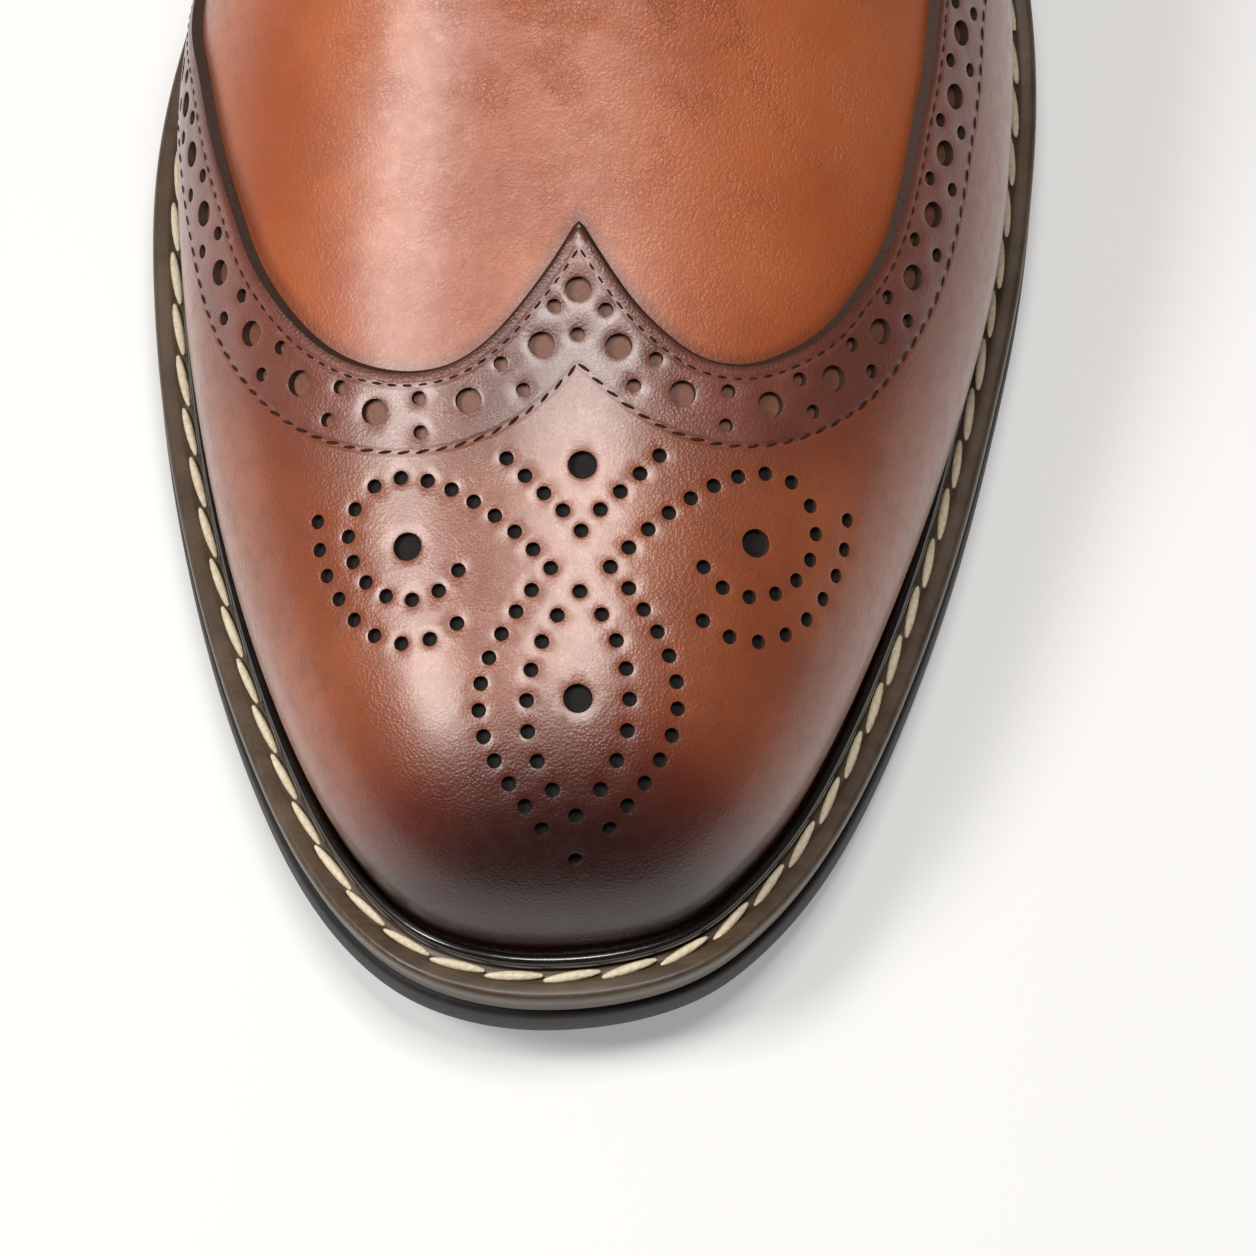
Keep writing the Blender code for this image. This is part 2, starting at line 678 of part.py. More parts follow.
def rod(name, route, radius, sides):
    """A closed round bar through the points of a route."""
    shell = Shell()
    route = [Vector(point) for point in route]
    rings = []
    side_axis = None
    for i, point in enumerate(route):
        ahead = route[min(i + 1, len(route) - 1)]
        behind = route[max(i - 1, 0)]
        way = (ahead - behind).normalized()
        if side_axis is None:
            side_axis = way.orthogonal().normalized()
        side_axis = (side_axis - way * side_axis.dot(way)).normalized()
        other = way.cross(side_axis)
        angles = [2 * pi * k / sides for k in range(sides)]
        rings.append([point + radius * (side_axis * cos(a) + other * sin(a)) for a in angles])
    numbers = shell.add([[list(point) for point in ring] for ring in rings])
    for ring, after in zip(numbers[:-1], numbers[1:]):
        for k in range(sides):
            shell.faces.append((ring[k], ring[k - 1], after[k - 1], after[k]))
    shell.faces.append(tuple(numbers[0][::-1]))
    shell.faces.append(tuple(numbers[-1]))
    return shell.build(name, BLACK, 0.6)


def as_cutter(thing, name):
    thing.name = name
    thing.hide_render = True
    thing.display_type = "WIRE"


def cut(thing, cutters, operation="DIFFERENCE"):
    for cutter in cutters:
        modifier = thing.modifiers.new(operation.title(), "BOOLEAN")
        modifier.operation = operation
        modifier.solver = "EXACT"
        modifier.object = cutter


def lace_route(first, second, lift):
    """Over the facings from one eyelet to another, up out of the first and down into the second."""
    rest = OVERLAY + 2 * GAP + LACE_RADIUS + lift
    points = [over(*first, GAP)]
    reach = [side * eyelet_reach(place) for side, place, _ in (first, second)]
    for share in np.linspace(0, 1, 4):
        place = first[1] + (second[1] - first[1]) * share
        across = reach[0] + (reach[1] - reach[0]) * share
        side = -1 if across < 0 else 1
        points.append(over(side, place, girth_at_distance(side, place, abs(across)), rest))
    points.append(over(*second, GAP))
    return points


def make_lace():
    """The bottom bar and the crossings, joined where they meet at the eyelets and where they cross.
    In each crossing the strand from the outer side lies a little higher."""
    spots = eyelets()
    pairs = [(0, 1)]
    for row in range(EYELET_PAIRS - 1):
        pairs += [(2 * row, 2 * row + 3), (2 * row + 1, 2 * row + 2)]
    strands = []
    for start, end in pairs:
        lift = CROSSING_LIFT * (spots[start][0] > 0)
        strands.append(rod("lace", lace_route(spots[start], spots[end], lift), LACE_RADIUS, LACE_SIDES))
    lace = strands[0]
    for strand in strands[1:]:
        as_cutter(strand, "strand_cutter")
    cut(lace, strands[1:], "UNION")
    return lace


def main():
    for thing in list(bpy.data.objects):
        bpy.data.objects.remove(thing)
    pegs = make_eyelet_cutters()
    make_outsole()
    make_midsole()
    make_welt()
    make_rand()
    make_insole()
    make_heel()
    make_upper([peg for _, peg in pegs])
    make_wingtip()
    for name, side in SIDES.items():
        make_facing(f"facing_{name}", side, [peg for peg_side, peg in pegs if peg_side == side])
    make_counter()
    make_tongue()
    make_lace()


main()
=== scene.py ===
from functools import lru_cache
from math import cos, pi, radians, sin, sqrt

import bmesh
import bpy
import numpy as np
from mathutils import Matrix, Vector
from mathutils.geometry import delaunay_2d_cdt


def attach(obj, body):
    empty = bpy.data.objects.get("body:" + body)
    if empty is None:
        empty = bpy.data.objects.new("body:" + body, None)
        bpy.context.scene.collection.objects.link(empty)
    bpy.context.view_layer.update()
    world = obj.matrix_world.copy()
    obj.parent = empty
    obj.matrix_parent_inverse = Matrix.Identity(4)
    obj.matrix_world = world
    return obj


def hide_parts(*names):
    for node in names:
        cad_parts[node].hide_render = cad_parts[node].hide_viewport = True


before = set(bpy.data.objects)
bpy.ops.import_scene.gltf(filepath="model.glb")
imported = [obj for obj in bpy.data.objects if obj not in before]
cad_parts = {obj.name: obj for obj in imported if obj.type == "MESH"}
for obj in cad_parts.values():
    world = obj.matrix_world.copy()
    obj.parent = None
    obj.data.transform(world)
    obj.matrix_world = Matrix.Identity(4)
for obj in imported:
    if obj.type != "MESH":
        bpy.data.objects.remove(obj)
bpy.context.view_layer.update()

# Driving sizes
LENGTH = 0.305
BALL_WIDTH = 0.111
INSTEP_RISE = 0.080
TOE_SPRING = 0.0095
COLLAR_BACK = 0.068

# Thickness of each layer of the sole, from the floor up
LIFT = 0.007
HEEL_BLOCK = 0.017
OUTSOLE = 0.0060
MIDSOLE = 0.0032
WELT = 0.0028
INSOLE = 0.0030
HEEL = LIFT + HEEL_BLOCK
STACK = OUTSOLE + MIDSOLE + WELT

# Leather
WALL = 0.0020
OVERLAY = 0.0012
TONGUE = 0.0020
LACE_RADIUS = 0.00125
EYELET_RADIUS = 0.0022
EYELET_PAIRS = 5
EYELET_FROM_EDGE = 0.0079
FACING_WIDTH = 0.021
FACING_NARROW = 0.75
THROAT_START = 0.0012
THROAT_SPREAD = 0.0030
TONGUE_ROOT_HALF = 0.013
TONGUE_TOP_HALF = 0.024

# Clearance between pieces that meet, and how far each line lies inside the edge of the sole
GAP = 0.0003
TONGUE_GAP = 0.0011
EDGE_TO_UPPER = 0.0071
EDGE_TO_MIDSOLE = 0.0006
EDGE_TO_RAND = 0.0036
RAND_HEIGHT = 0.0024
EDGE_TO_HEEL = 0.0012
EDGE_TO_LIFT = 0.0010
INSOLE_CLEARANCE = 0.0012
HEEL_MARGIN = 0.8

# Places along the foot, as shares of its length from the toe
TIP = EDGE_TO_UPPER / LENGTH
THROAT = 0.395
FACING_TOP = 0.585
HEEL_TURN = 0.870
BREAST = 0.745
TONGUE_ROOT = 0.360
TONGUE_TOP = 0.645
FACING_START = 0.403
FIRST_EYELET = 0.413
LAST_EYELET = 0.566

# Girth places: where overlays start over the feather line, and the line where a side is widest
HEM = 0.02
SWELL_GIRTH = 0.25

# Samples along a line
DENSE = np.linspace(0, 1, 1601)

# Outline of the sole: place along the foot, then half widths as shares of the ball width
OUTLINE = {
    "place": [0, 0.014, 0.032, 0.068, 0.105, 0.16, 0.215, 0.27, 0.32, 0.365, 0.41, 0.46, 0.52, 0.59,
              0.67, 0.75, 0.82, 0.88, 0.93, 0.97, 0.99, 1],
    "inner": [0.055, 0.204, 0.261, 0.328, 0.373, 0.423, 0.459, 0.484, 0.496, 0.497, 0.481, 0.443, 0.388,
              0.341, 0.316, 0.312, 0.316, 0.311, 0.272, 0.192, 0.102, -0.02],
    "outer": [-0.055, 0.117, 0.178, 0.254, 0.306, 0.365, 0.412, 0.449, 0.477, 0.493, 0.5, 0.492, 0.463,
              0.417, 0.374, 0.353, 0.352, 0.345, 0.305, 0.228, 0.142, 0.02],
}

# Underside of the sole: shares of the toe spring before the ball, then of the heel height behind it
FRONT_RISE = {"place": [0, 0.05, 0.1, 0.16, 0.22, 0.28, 0.39], "rise": [1, 0.66, 0.4, 0.19, 0.06, 0, 0]}
WAIST_RISE = {
    "place": [0.39, 0.46, 0.54, 0.62, 0.7, 0.76, 0.81, 1],
    "rise": [0, 0.06, 0.25, 0.54, 0.83, 0.96, 1, 1],
}

# Ribs of the last. ridge: sideways place as a share of the ball width. rise: height over the feather
# line as a share of the instep rise. bulge: how far the side swells past the feather line, as a share
# of the ball width. swell: height of that widest line as a share of the rise. round: squareness.
RIBS = {
    "place": [TIP, 0.034, 0.05, 0.09, 0.15, 0.22, 0.3, 0.38, 0.46, 0.54, 0.62, 0.7, 0.78, 0.87],
    "ridge": [-0.055, -0.05, -0.044, -0.032, -0.022, -0.018, -0.016, -0.018, -0.02, -0.018, -0.006, 0.007,
              0.014, 0.017],
    "rise": [0, 0.155, 0.24, 0.341, 0.416, 0.491, 0.591, 0.711, 0.851, 0.991, 1.131, 1.24, 1.3, 1.3],
    "inner_bulge": [0, 0.003, 0.006, 0.011, 0.014, 0.015, 0.015, 0.02, 0.034, 0.054, 0.056, 0.038, 0.026,
                    0.02],
    "outer_bulge": [0, 0.002, 0.004, 0.007, 0.010, 0.018, 0.027, 0.021, 0.016, 0.018, 0.027, 0.03,
                    0.028, 0.02],
    "inner_swell": [0.3, 0.3, 0.3, 0.3, 0.3, 0.3, 0.29, 0.28, 0.27, 0.26, 0.25, 0.24, 0.22, 0.2],
    "outer_swell": [0.3, 0.3, 0.29, 0.28, 0.27, 0.26, 0.25, 0.24, 0.23, 0.22, 0.22, 0.22, 0.22, 0.2],
    "inner_round": [2.1, 2.15, 2.2, 2.25, 2.25, 2.2, 2.15, 2.05, 1.95, 1.9, 1.85, 1.8, 1.75, 1.75],
    "outer_round": [2.1, 2.1, 2.1, 2.1, 2.1, 2.05, 2, 1.95, 1.9, 1.85, 1.8, 1.75, 1.75, 1.75],
}

# Curve of the back of the heel: height as a share of the collar's, and how far it leans in from the
# sole's edge past the feather line, as a share of the collar's height
BACK_CURVE = {
    "height": [0, 0.05, 0.2, 0.4, 0.65, 1, 1.5],
    "lean": [0, -0.001, -0.022, -0.034, -0.014, 0.05, 0.15],
}

# Top line of the collar: height over the feather line as a share of the collar's height at the back
TOP_LINE = {
    "place": [0.57, 0.6, 0.64, 0.69, 0.75, 0.81, 0.87, 0.93, 0.97, 1],
    "height": [1.32, 1.12, 0.985, 0.885, 0.825, 0.815, 0.86, 0.94, 0.985, 1],
}

# Edge of the heel counter: place along the foot and girth place of its top
COUNTER_EDGE = {"place": [0.752, 0.78, 0.82, 0.87, 0.93, 1], "girth": [0.06, 0.19, 0.29, 0.36, 0.43, 0.49]}


@lru_cache(maxsize=None)
def bends(places, values):
    """Second derivatives of the spline through a table's rows."""
    x = np.array(places)
    y = np.array(values)
    step = np.diff(x)
    size = len(x)
    system = np.eye(size)
    right = np.zeros(size)
    for i in range(1, size - 1):
        system[i, i - 1 : i + 2] = step[i - 1], 2 * (step[i - 1] + step[i]), step[i]
        right[i] = 6 * ((y[i + 1] - y[i]) / step[i] - (y[i] - y[i - 1]) / step[i - 1])
    return np.linalg.solve(system, right)


def smooth(places, values, at):
    """A natural cubic spline through a table's rows."""
    x = np.asarray(places, float)
    y = np.asarray(values, float)
    at = np.asarray(at, float)
    step = x[1:] - x[:-1]
    bend = bends(tuple(x.tolist()), tuple(y.tolist()))
    k = np.clip(np.searchsorted(x, at) - 1, 0, len(x) - 2)
    a = (x[k + 1] - at) / step[k]
    b = (at - x[k]) / step[k]
    return a * y[k] + b * y[k + 1] + ((a**3 - a) * bend[k] + (b**3 - b) * bend[k + 1]) * step[k] ** 2 / 6


def held(places, values, at):
    """A cubic through a table's rows that never passes above or below two neighbours."""
    x = np.asarray(places, float)
    y = np.asarray(values, float)
    at = np.asarray(at, float)
    step = np.diff(x)
    slope = np.diff(y) / step
    tangent = np.zeros(len(x))
    for i in range(1, len(x) - 1):
        if slope[i - 1] * slope[i] > 0:
            before = 2 * step[i] + step[i - 1]
            after = step[i] + 2 * step[i - 1]
            tangent[i] = (before + after) / (before / slope[i - 1] + after / slope[i])
    k = np.clip(np.searchsorted(x, at) - 1, 0, len(x) - 2)
    s = (at - x[k]) / step[k]
    start = (2 * s**3 - 3 * s**2 + 1) * y[k] + (s**3 - 2 * s**2 + s) * step[k] * tangent[k]
    return start + (3 * s**2 - 2 * s**3) * y[k + 1] + (s**3 - s**2) * step[k] * tangent[k + 1]


def ease(x):
    """0 to 1 with level ends."""
    x = np.clip(x, 0, 1)
    return x * x * (3 - 2 * x)


def turn(place):
    """A place along the foot as a share of the way round one side, so that both ends come out round."""
    return np.arccos(1 - 2 * np.clip(place, 0, 1)) / pi


def place_of(way):
    return (1 - np.cos(pi * np.asarray(way, float))) / 2


def sole_edge(side, way):
    """Plan points of the sole's edge on one side, from the toe (0) to the back of the heel (1)."""
    column = OUTLINE["inner"] if side < 0 else OUTLINE["outer"]
    x = side * BALL_WIDTH * smooth(turn(OUTLINE["place"]), column, way)
    return np.stack([x, LENGTH * (place_of(way) - 0.5)], -1)


def margin(way):
    """The welt shows less round the heel than round the toe."""
    return 1 - (1 - HEEL_MARGIN) * ease((place_of(way) - 0.5) / 0.3)


def outward(side, way):
    """Unit vectors in plan, square to the sole's edge."""
    way = np.asarray(way, float)
    step = 1e-4
    along = sole_edge(side, np.clip(way + step, 0, 1)) - sole_edge(side, np.clip(way - step, 0, 1))
    along = np.where((way < step)[:, None], [side, 0.0], along)
    along = np.where((way > 1 - step)[:, None], [-side, 0.0], along)
    along = along / np.linalg.norm(along, axis=1, keepdims=True)
    return side * np.stack([along[:, 1], -along[:, 0]], -1)


def inset(side, way, depth, beyond=0.0):
    """The sole's edge moved inwards by depth, which shrinks round the heel, and by a fixed amount beyond."""
    way = np.asarray(way, float)
    return sole_edge(side, way) - outward(side, way) * (depth * margin(way) + beyond)[:, None]


def underside(place):
    """Height of the sole's underside."""
    place = np.asarray(place, float)
    ball = FRONT_RISE["place"][-1]
    front = TOE_SPRING * held(*FRONT_RISE.values(), np.minimum(place, ball))
    back = HEEL * held(*WAIST_RISE.values(), np.maximum(place, ball))
    return np.where(place < ball, front, back)


def feather(place):
    """Height at which the upper starts."""
    return underside(place) + STACK + GAP


@lru_cache(maxsize=None)
def feather_line(side):
    return inset(side, DENSE, EDGE_TO_UPPER)


def feather_x(side, place):
    line = feather_line(side)
    front = len(DENSE) * 7 // 8
    way = np.interp(LENGTH * (place - 0.5), line[:front, 1], DENSE[:front])
    return np.interp(way, DENSE, line[:, 0])


def rib(column, place):
    """A column of RIBS, read on the square root of the distance from the tip so that the toe is round."""
    roots = np.sqrt(np.asarray(RIBS["place"]) - TIP)
    return smooth(roots, RIBS[column], np.sqrt(np.maximum(np.asarray(place) - TIP, 0)))


def section(side, place, girth):
    """Sideways place and height of a rib's point: girth 0 at the feather line, 1 at the ridge."""
    hand = "inner" if side < 0 else "outer"
    low = feather(place)
    rise = rib("rise", place) * INSTEP_RISE
    start = feather_x(side, place)
    wide = start + side * BALL_WIDTH * rib(hand + "_bulge", place)
    swell = low + rise * rib(hand + "_swell", place)
    ridge = BALL_WIDTH * rib("ridge", place)
    power = 2 / rib(hand + "_round", place)
    up = np.clip(girth / SWELL_GIRTH, 0, 1)
    over = np.clip((girth - SWELL_GIRTH) / (1 - SWELL_GIRTH), 0, 1) * pi / 2
    below = girth < SWELL_GIRTH
    x = np.where(
        below,
        start + (wide - start) * (1 - np.cos(pi * up)) / 2,
        ridge + (wide - ridge) * np.maximum(np.cos(over), 0) ** power,
    )
    z = np.where(below, low + (swell - low) * up, swell + (low + rise - swell) * np.sin(over) ** power)
    return x, z


def last_point(side, place, girth):
    """The upper's outer surface. Behind HEEL_TURN the ribs fan round the heel."""
    place = np.asarray(place, float)
    girth = np.asarray(girth, float)
    x, z = section(side, np.minimum(place, HEEL_TURN), girth)
    flat = np.stack([x, LENGTH * (place - 0.5), z], -1)
    way = turn(np.maximum(place, HEEL_TURN)).ravel()
    start = turn(HEEL_TURN)
    side_depth = side * (sole_edge(side, np.array([start]))[0, 0] - x).ravel()
    height = (z - feather(1.0)).ravel() / COLLAR_BACK
    lean = EDGE_TO_UPPER * HEEL_MARGIN + COLLAR_BACK * smooth(*BACK_CURVE.values(), height)
    round_share = ease((way - start) / (1 - start))
    depth = side_depth * (1 - round_share) + lean * round_share
    aim = outward(side, way)
    straight = ease((way - start) / 0.06)[:, None]
    aim = np.array([side, 0.0]) * (1 - straight) + aim * straight
    aim = aim / np.linalg.norm(aim, axis=1, keepdims=True)
    plan = (sole_edge(side, way) - aim * depth[:, None]).reshape(place.shape + (2,))
    fan = np.concatenate([plan, z[..., None]], -1)
    return np.where((place > HEEL_TURN)[..., None], fan, flat)


def skin(side, place, girth, out=0.0):
    """A point that lies out from the upper's outer surface."""
    place, girth = np.broadcast_arrays(np.asarray(place, float), np.asarray(girth, float))
    root = np.sqrt(np.maximum(place - TIP, 0))
    step = 2e-4
    ahead = np.minimum(TIP + (root + step) ** 2, 1)
    behind = TIP + np.maximum(root - step, step * 0.1) ** 2
    above = np.minimum(girth + step, 1)
    under = np.maximum(girth - step, 0)
    along = last_point(side, ahead, girth) - last_point(side, behind, girth)
    across = last_point(side, place, above) - last_point(side, place, under)
    normal = side * np.cross(along, across)
    normal[..., 0] = np.where(girth > 0.9999, 0, normal[..., 0])
    normal[..., 0] = np.where(place > 0.9999, 0, normal[..., 0])
    toe = (place <= TIP + 1e-9)[..., None]
    normal = np.where(toe, [0.0, -1.0, 0.0], normal)
    pitch = (feather(place + step) - feather(place - step)) / (2 * step * LENGTH)
    lowest = (place <= TIP + 1e-9) | (girth < 0.0001)
    normal[..., 2] = np.where(lowest, pitch * normal[..., 1], normal[..., 2])
    normal = normal / np.linalg.norm(normal, axis=-1, keepdims=True)
    return last_point(side, place, girth) + normal * np.asarray(out)[..., None]


def girth_at_height(side, place, height):
    """Girth place at which a rib reaches a height."""
    girths = np.linspace(SWELL_GIRTH, 1, 400)
    z = section(side, np.full(400, min(place, HEEL_TURN)), girths)[1]
    return float(np.interp(height, z, girths))


def girths_at(side, place, distances):
    """Girth places that lie distances sideways from the ridge."""
    girths = np.linspace(1, SWELL_GIRTH, 400)
    x = section(side, np.full(400, place), girths)[0]
    return np.interp(distances, side * (x - x[0]), girths)


def girth_at_distance(side, place, distance):
    return float(girths_at(side, place, distance))


def throat_gap(place):
    """Half of the opening between the facings, which widens upwards."""
    share = np.clip((place - THROAT) / (FACING_TOP - THROAT), 0, 1)
    return THROAT_START * ease(share / 0.08) + THROAT_SPREAD * share


def eyelet_reach(place):
    """Distance sideways from the ridge to an eyelet's centre."""
    return throat_gap(place) + EYELET_FROM_EDGE


def top_girth(side, place):
    """Girth place of the upper's top edge: the ridge, then the throat's edge, then the collar."""
    if place <= THROAT:
        return 1.0
    if place >= HEEL_TURN:
        height = feather(1.0) + COLLAR_BACK * smooth(*TOP_LINE.values(), place)
        return girth_at_height(side, HEEL_TURN, height)
    throat = girth_at_distance(side, place, throat_gap(place))
    if place < TOP_LINE["place"][0]:
        return throat
    height = feather(1.0) + COLLAR_BACK * smooth(*TOP_LINE.values(), place)
    return min(throat, girth_at_height(side, place, height))


# Shape of the visible leather
BASE = 0.0
TOP = GAP + OVERLAY
LINING_DEPTH = 0.0019
HOLE_FLOOR = 0.0002
TRIM_SINK = 0.0002

# Creases across the ball and the instep: along the foot, sideways middle, half length, depth, slant
CREASES = [
    (-0.0405, -0.004, 0.026, 0.00008, 0.10),
    (-0.0345, 0.003, 0.030, 0.00045, -0.06),
    (-0.0285, -0.006, 0.024, 0.0003, 0.05),
    (-0.0465, 0.008, 0.018, 0.00005, -0.12),
]

# Picture
IMAGE = 1256
FOCAL_PIXELS = 10312.5
SENSOR = 36
ELEVATION = 68
DISTANCE = 1.25
TARGET = (0.0041212, -0.1077414, 0.030)
FLOOR = 2
WORLD_STRENGTH = 0.07
LAMP_TINT = (1.0, 0.97, 0.925)
AIM = (0, -0.08, 0.04)

# Each lamp: place from where it aims, width and power
LAMPS = {"top": ((0.03, -0.02, 1.0), 0.27, 5.4), "left": ((-0.52, -0.12, 0.76), 0.26, 5.0)}

# Brogue: distances from the foot of the wing's cut edge, hole sizes and spacings
EDGE_ROW = 0.0005
UPPER_ROW = 0.0020
LOWER_ROW = 0.0102
HOLE_ROW = 0.0054
UPPER_SMALL = 0.0036
LOWER_SMALL = 0.0078
BAND_SHIFT = {-1: 0.0010, 1: -0.0011}
HOLE_PITCH = {-1: 0.00865, 1: 0.0076}
FIRST_LARGE = 0.0148
PEAK_HOLE = 0.2567
RIDGE_HOLE = 0.2394
LARGE_HOLE = 0.00160
SMALL_HOLE = 0.00088
TOE_HOLE = 0.00175
TOE_SMALL_HOLE = 0.00090

# Rows of stitches: pitch, place, and length, width and height of one stitch
FINE_PITCH = 0.0019
COARSE_PITCH = 0.0023
TRIM_ROW = 0.0019
WELT_PITCH = 0.0070
WELT_ROW = 0.0029
FINE_STITCH = (0.00155, 0.00046, 0.0005)
COARSE_STITCH = (0.0020, 0.00054, 0.0006)
TRIM_STITCH = (0.00165, 0.00052, 0.0005)
WELT_STITCH = (0.0072, 0.0012, 0.0011)
WING_STITCH_SINK = 0.00015
TRIM_STITCH_SINK = 0.00005

# Edges of leather panels: the drop and width of a rounded cut edge and of a punched hole's, how clear of
# them the points between stay, and from which size on a hole has the full number of sides
EDGE_DROP = 0.0002
EDGE_ROUND = 0.0006
HOLE_DROP = 0.00007
HOLE_ROUND = 0.00038
EDGE_CLEAR = 0.0011
HOLE_CLEAR = 0.0009
FULL_HOLE = 0.0012
HOLE_SIDES = 20

# Spacing of the points inside panels, and how far a facing stays below the folded edge and runs back
WING_FILL = 0.00135
FACING_FILL = 0.0016
FACING_BELOW = 0.006
FACING_LAST = 0.64
FACING_FILL_LAST = 0.645
HOLES_END = 0.008
COLLAR_ROW = 0.0022

# Samples of the last laid out flat
FLAT_ROWS = 500
FLAT_COLUMNS = 161
FLAT_PLACES = TIP + (1 - TIP) * np.linspace(0, 1, FLAT_ROWS) ** 2

# Foot of the wing's edge on each side from the peak to the feather line: place along the foot and girth place
WING_LINES = {
    -1: {
        "place": [0.2845, 0.2729, 0.2542, 0.2397, 0.2306, 0.2289, 0.2328, 0.2421, 0.2551, 0.2711, 0.2884,
                  0.3056, 0.3197, 0.3376, 0.3552, 0.3735, 0.3921, 0.43, 0.465, 0.5, 0.53, 0.545],
        "girth": [1, 0.982, 0.943, 0.901, 0.85, 0.795, 0.735, 0.674, 0.626, 0.583, 0.548,
                  0.524, 0.503, 0.477, 0.453, 0.423, 0.376, 0.285, 0.205, 0.13, 0.06, 0.02],
    },
    1: {
        "place": [0.2845, 0.2692, 0.2528, 0.2412, 0.2338, 0.232, 0.2335, 0.2408, 0.2509, 0.2662, 0.2804,
                  0.2917, 0.3167, 0.3413, 0.3581, 0.3745, 0.385, 0.42, 0.455, 0.49, 0.52, 0.543, 0.552],
        "girth": [1, 0.969, 0.929, 0.886, 0.841, 0.808, 0.765, 0.713, 0.668, 0.628, 0.598,
                  0.583, 0.565, 0.554, 0.543, 0.536, 0.533, 0.5, 0.435, 0.34, 0.23, 0.1, 0.02],
    },
}

# Lines of the toe pattern in plan, in mm from its middle: sideways and along the foot
PATTERN_MIDDLE = (-0.0015, -0.1030)
PATTERN_SHEAR = 0.028
PATTERN = {
    "scroll": {"across": [3.5, 8.4, 13.6, 19.5, 24.4, 27.0, 27.2, 24.7, 20.6, 16.5, 14.35],
               "along": [-4.3, 0.8, 4.8, 7.7, 7.6, 4.6, 0.6, -4.2, -6.6, -6.0, -3.85]},
    "arc": {"across": [31.05, 30.7, 28.3, 23.6, 18.5, 14.35],
            "along": [4.85, 1.4, -4.8, -10.4, -11.9, -10.2]},
    "cross": {"across": [2.2, 5.6, 9.0], "along": [2.6, 5.8, 9.15]},
    "outer": {"across": [5.7, 9.2, 11.35, 11.2, 8.45, 3.95],
              "along": [-6.85, -12.05, -17.3, -22.7, -28.05, -33.5]},
    "inner": {"across": [2.6, 5.1, 6.0, 5.6, 2.8], "along": [-10.0, -14.8, -20.0, -24.2, -29.7]},
}
PATTERN_COUNTS = {"scroll": 17, "arc": 9, "cross": 4, "outer": 11, "inner": 7}
PATTERN_CENTRE_HOLES = [0.1, -7.2, -32.3, -36.3]
PATTERN_LARGE = [(0, 8.0), (0, -19.8), (20.4, -0.3), (-20.4, -0.3)]


def srgb(red, green, blue, gain=1.0):
    """A colour picked as 8-bit values, as the shader needs it."""
    values = np.array([red, green, blue]) / 255
    linear = np.where(values <= 0.04045, values / 12.92, ((values + 0.055) / 1.055) ** 2.4) * gain
    return (*[float(v) for v in linear], 1.0)


def facing_girth(side, place):
    """Girth place of a facing's outer edge, its width down from the throat's edge. It runs on over the
    collar, whose top line cuts the facing off."""
    edge = girth_at_distance(side, place, throat_gap(place))
    girths = np.linspace(edge, SWELL_GIRTH, 200)
    x, z = section(side, np.full(200, place), girths)
    run = np.concatenate([[0], np.cumsum(np.hypot(np.diff(x), np.diff(z)))])
    share = (place - FACING_START) / (FACING_TOP - FACING_START)
    width = FACING_WIDTH * (FACING_NARROW + (1 - FACING_NARROW) * ease(2 * share))
    return float(np.interp(width, run, girths))


def eyelets():
    """(side, place, girth) of each eyelet, bottom pair first."""
    found = []
    for pair in range(EYELET_PAIRS):
        place = FIRST_EYELET + (LAST_EYELET - FIRST_EYELET) * pair / (EYELET_PAIRS - 1)
        for side in (-1, 1):
            found.append((side, place, girth_at_distance(side, place, eyelet_reach(place))))
    return found


# Points on the last are rows of (side, place, girth)


def spots_on(side, places, girths):
    """Spots on one side at places and girths, either of which may be one number."""
    places, girths = np.broadcast_arrays(np.asarray(places, float), np.asarray(girths, float))
    return np.column_stack([np.full(len(places), float(side)), places, girths])


def at(spots, out=0.0):
    """World points of spots on the last, out from its surface."""
    points = np.empty((len(spots), 3))
    out = np.broadcast_to(np.asarray(out, float), len(spots))
    for side in (-1, 1):
        rows = spots[:, 0] == side
        if rows.any():
            points[rows] = skin(side, spots[rows, 1], spots[rows, 2], out[rows])
    return points


def normals(spots):
    away = at(spots, 1e-3) - at(spots)
    return away / np.linalg.norm(away, axis=1, keepdims=True)


def fold(spots):
    """Spots that ran over the ridge or past the back of the heel, brought to the other side."""
    spots = spots.copy()
    over = spots[:, 2] > 1
    spots[over, 2] = 2 - spots[over, 2]
    past = spots[:, 1] > 1
    spots[past, 1] = 2 - spots[past, 1]
    spots[over ^ past, 0] *= -1
    spots[:, 1] = np.maximum(spots[:, 1], TIP + 1e-6)
    spots[:, 2] = np.clip(spots[:, 2], 0, 1)
    return spots


def walk(spots, move):
    """Spots moved by world vectors and kept on the last."""
    goal = at(spots) + move
    step = 1e-4
    for _ in range(5):
        here = at(spots)
        turn_back = np.where(spots[:, 2] > 0.5, -step, step)
        along = (at(spots + [0, step, 0]) - here) / step if spots[:, 1].max() < 1 - step else None
        if along is None:
            along = (here - at(spots - [0, step, 0])) / step
        near = spots.copy()
        near[:, 2] += turn_back
        across = (at(near) - here) / turn_back[:, None]
        rest = goal - here
        a = (along * along).sum(1)
        b = (along * across).sum(1)
        c = (across * across).sum(1)
        u = (along * rest).sum(1)
        v = (across * rest).sum(1)
        scale = a * c - b * b
        spots = fold(spots + spots_on(0, (u * c - v * b) / scale, (a * v - b * u) / scale))
    return spots


def run_of(points):
    steps = np.linalg.norm(np.diff(points, axis=0), axis=1)
    return np.concatenate([[0], np.cumsum(steps)])


def line_through(side, places, girths, count=500):
    """A smooth line on one side through control places and girths."""
    run = run_of(at(spots_on(side, places, girths)))
    fine = np.linspace(0, run[-1], count)
    return spots_on(side, smooth(run, places, fine), np.clip(smooth(run, girths, fine), 0, 1))


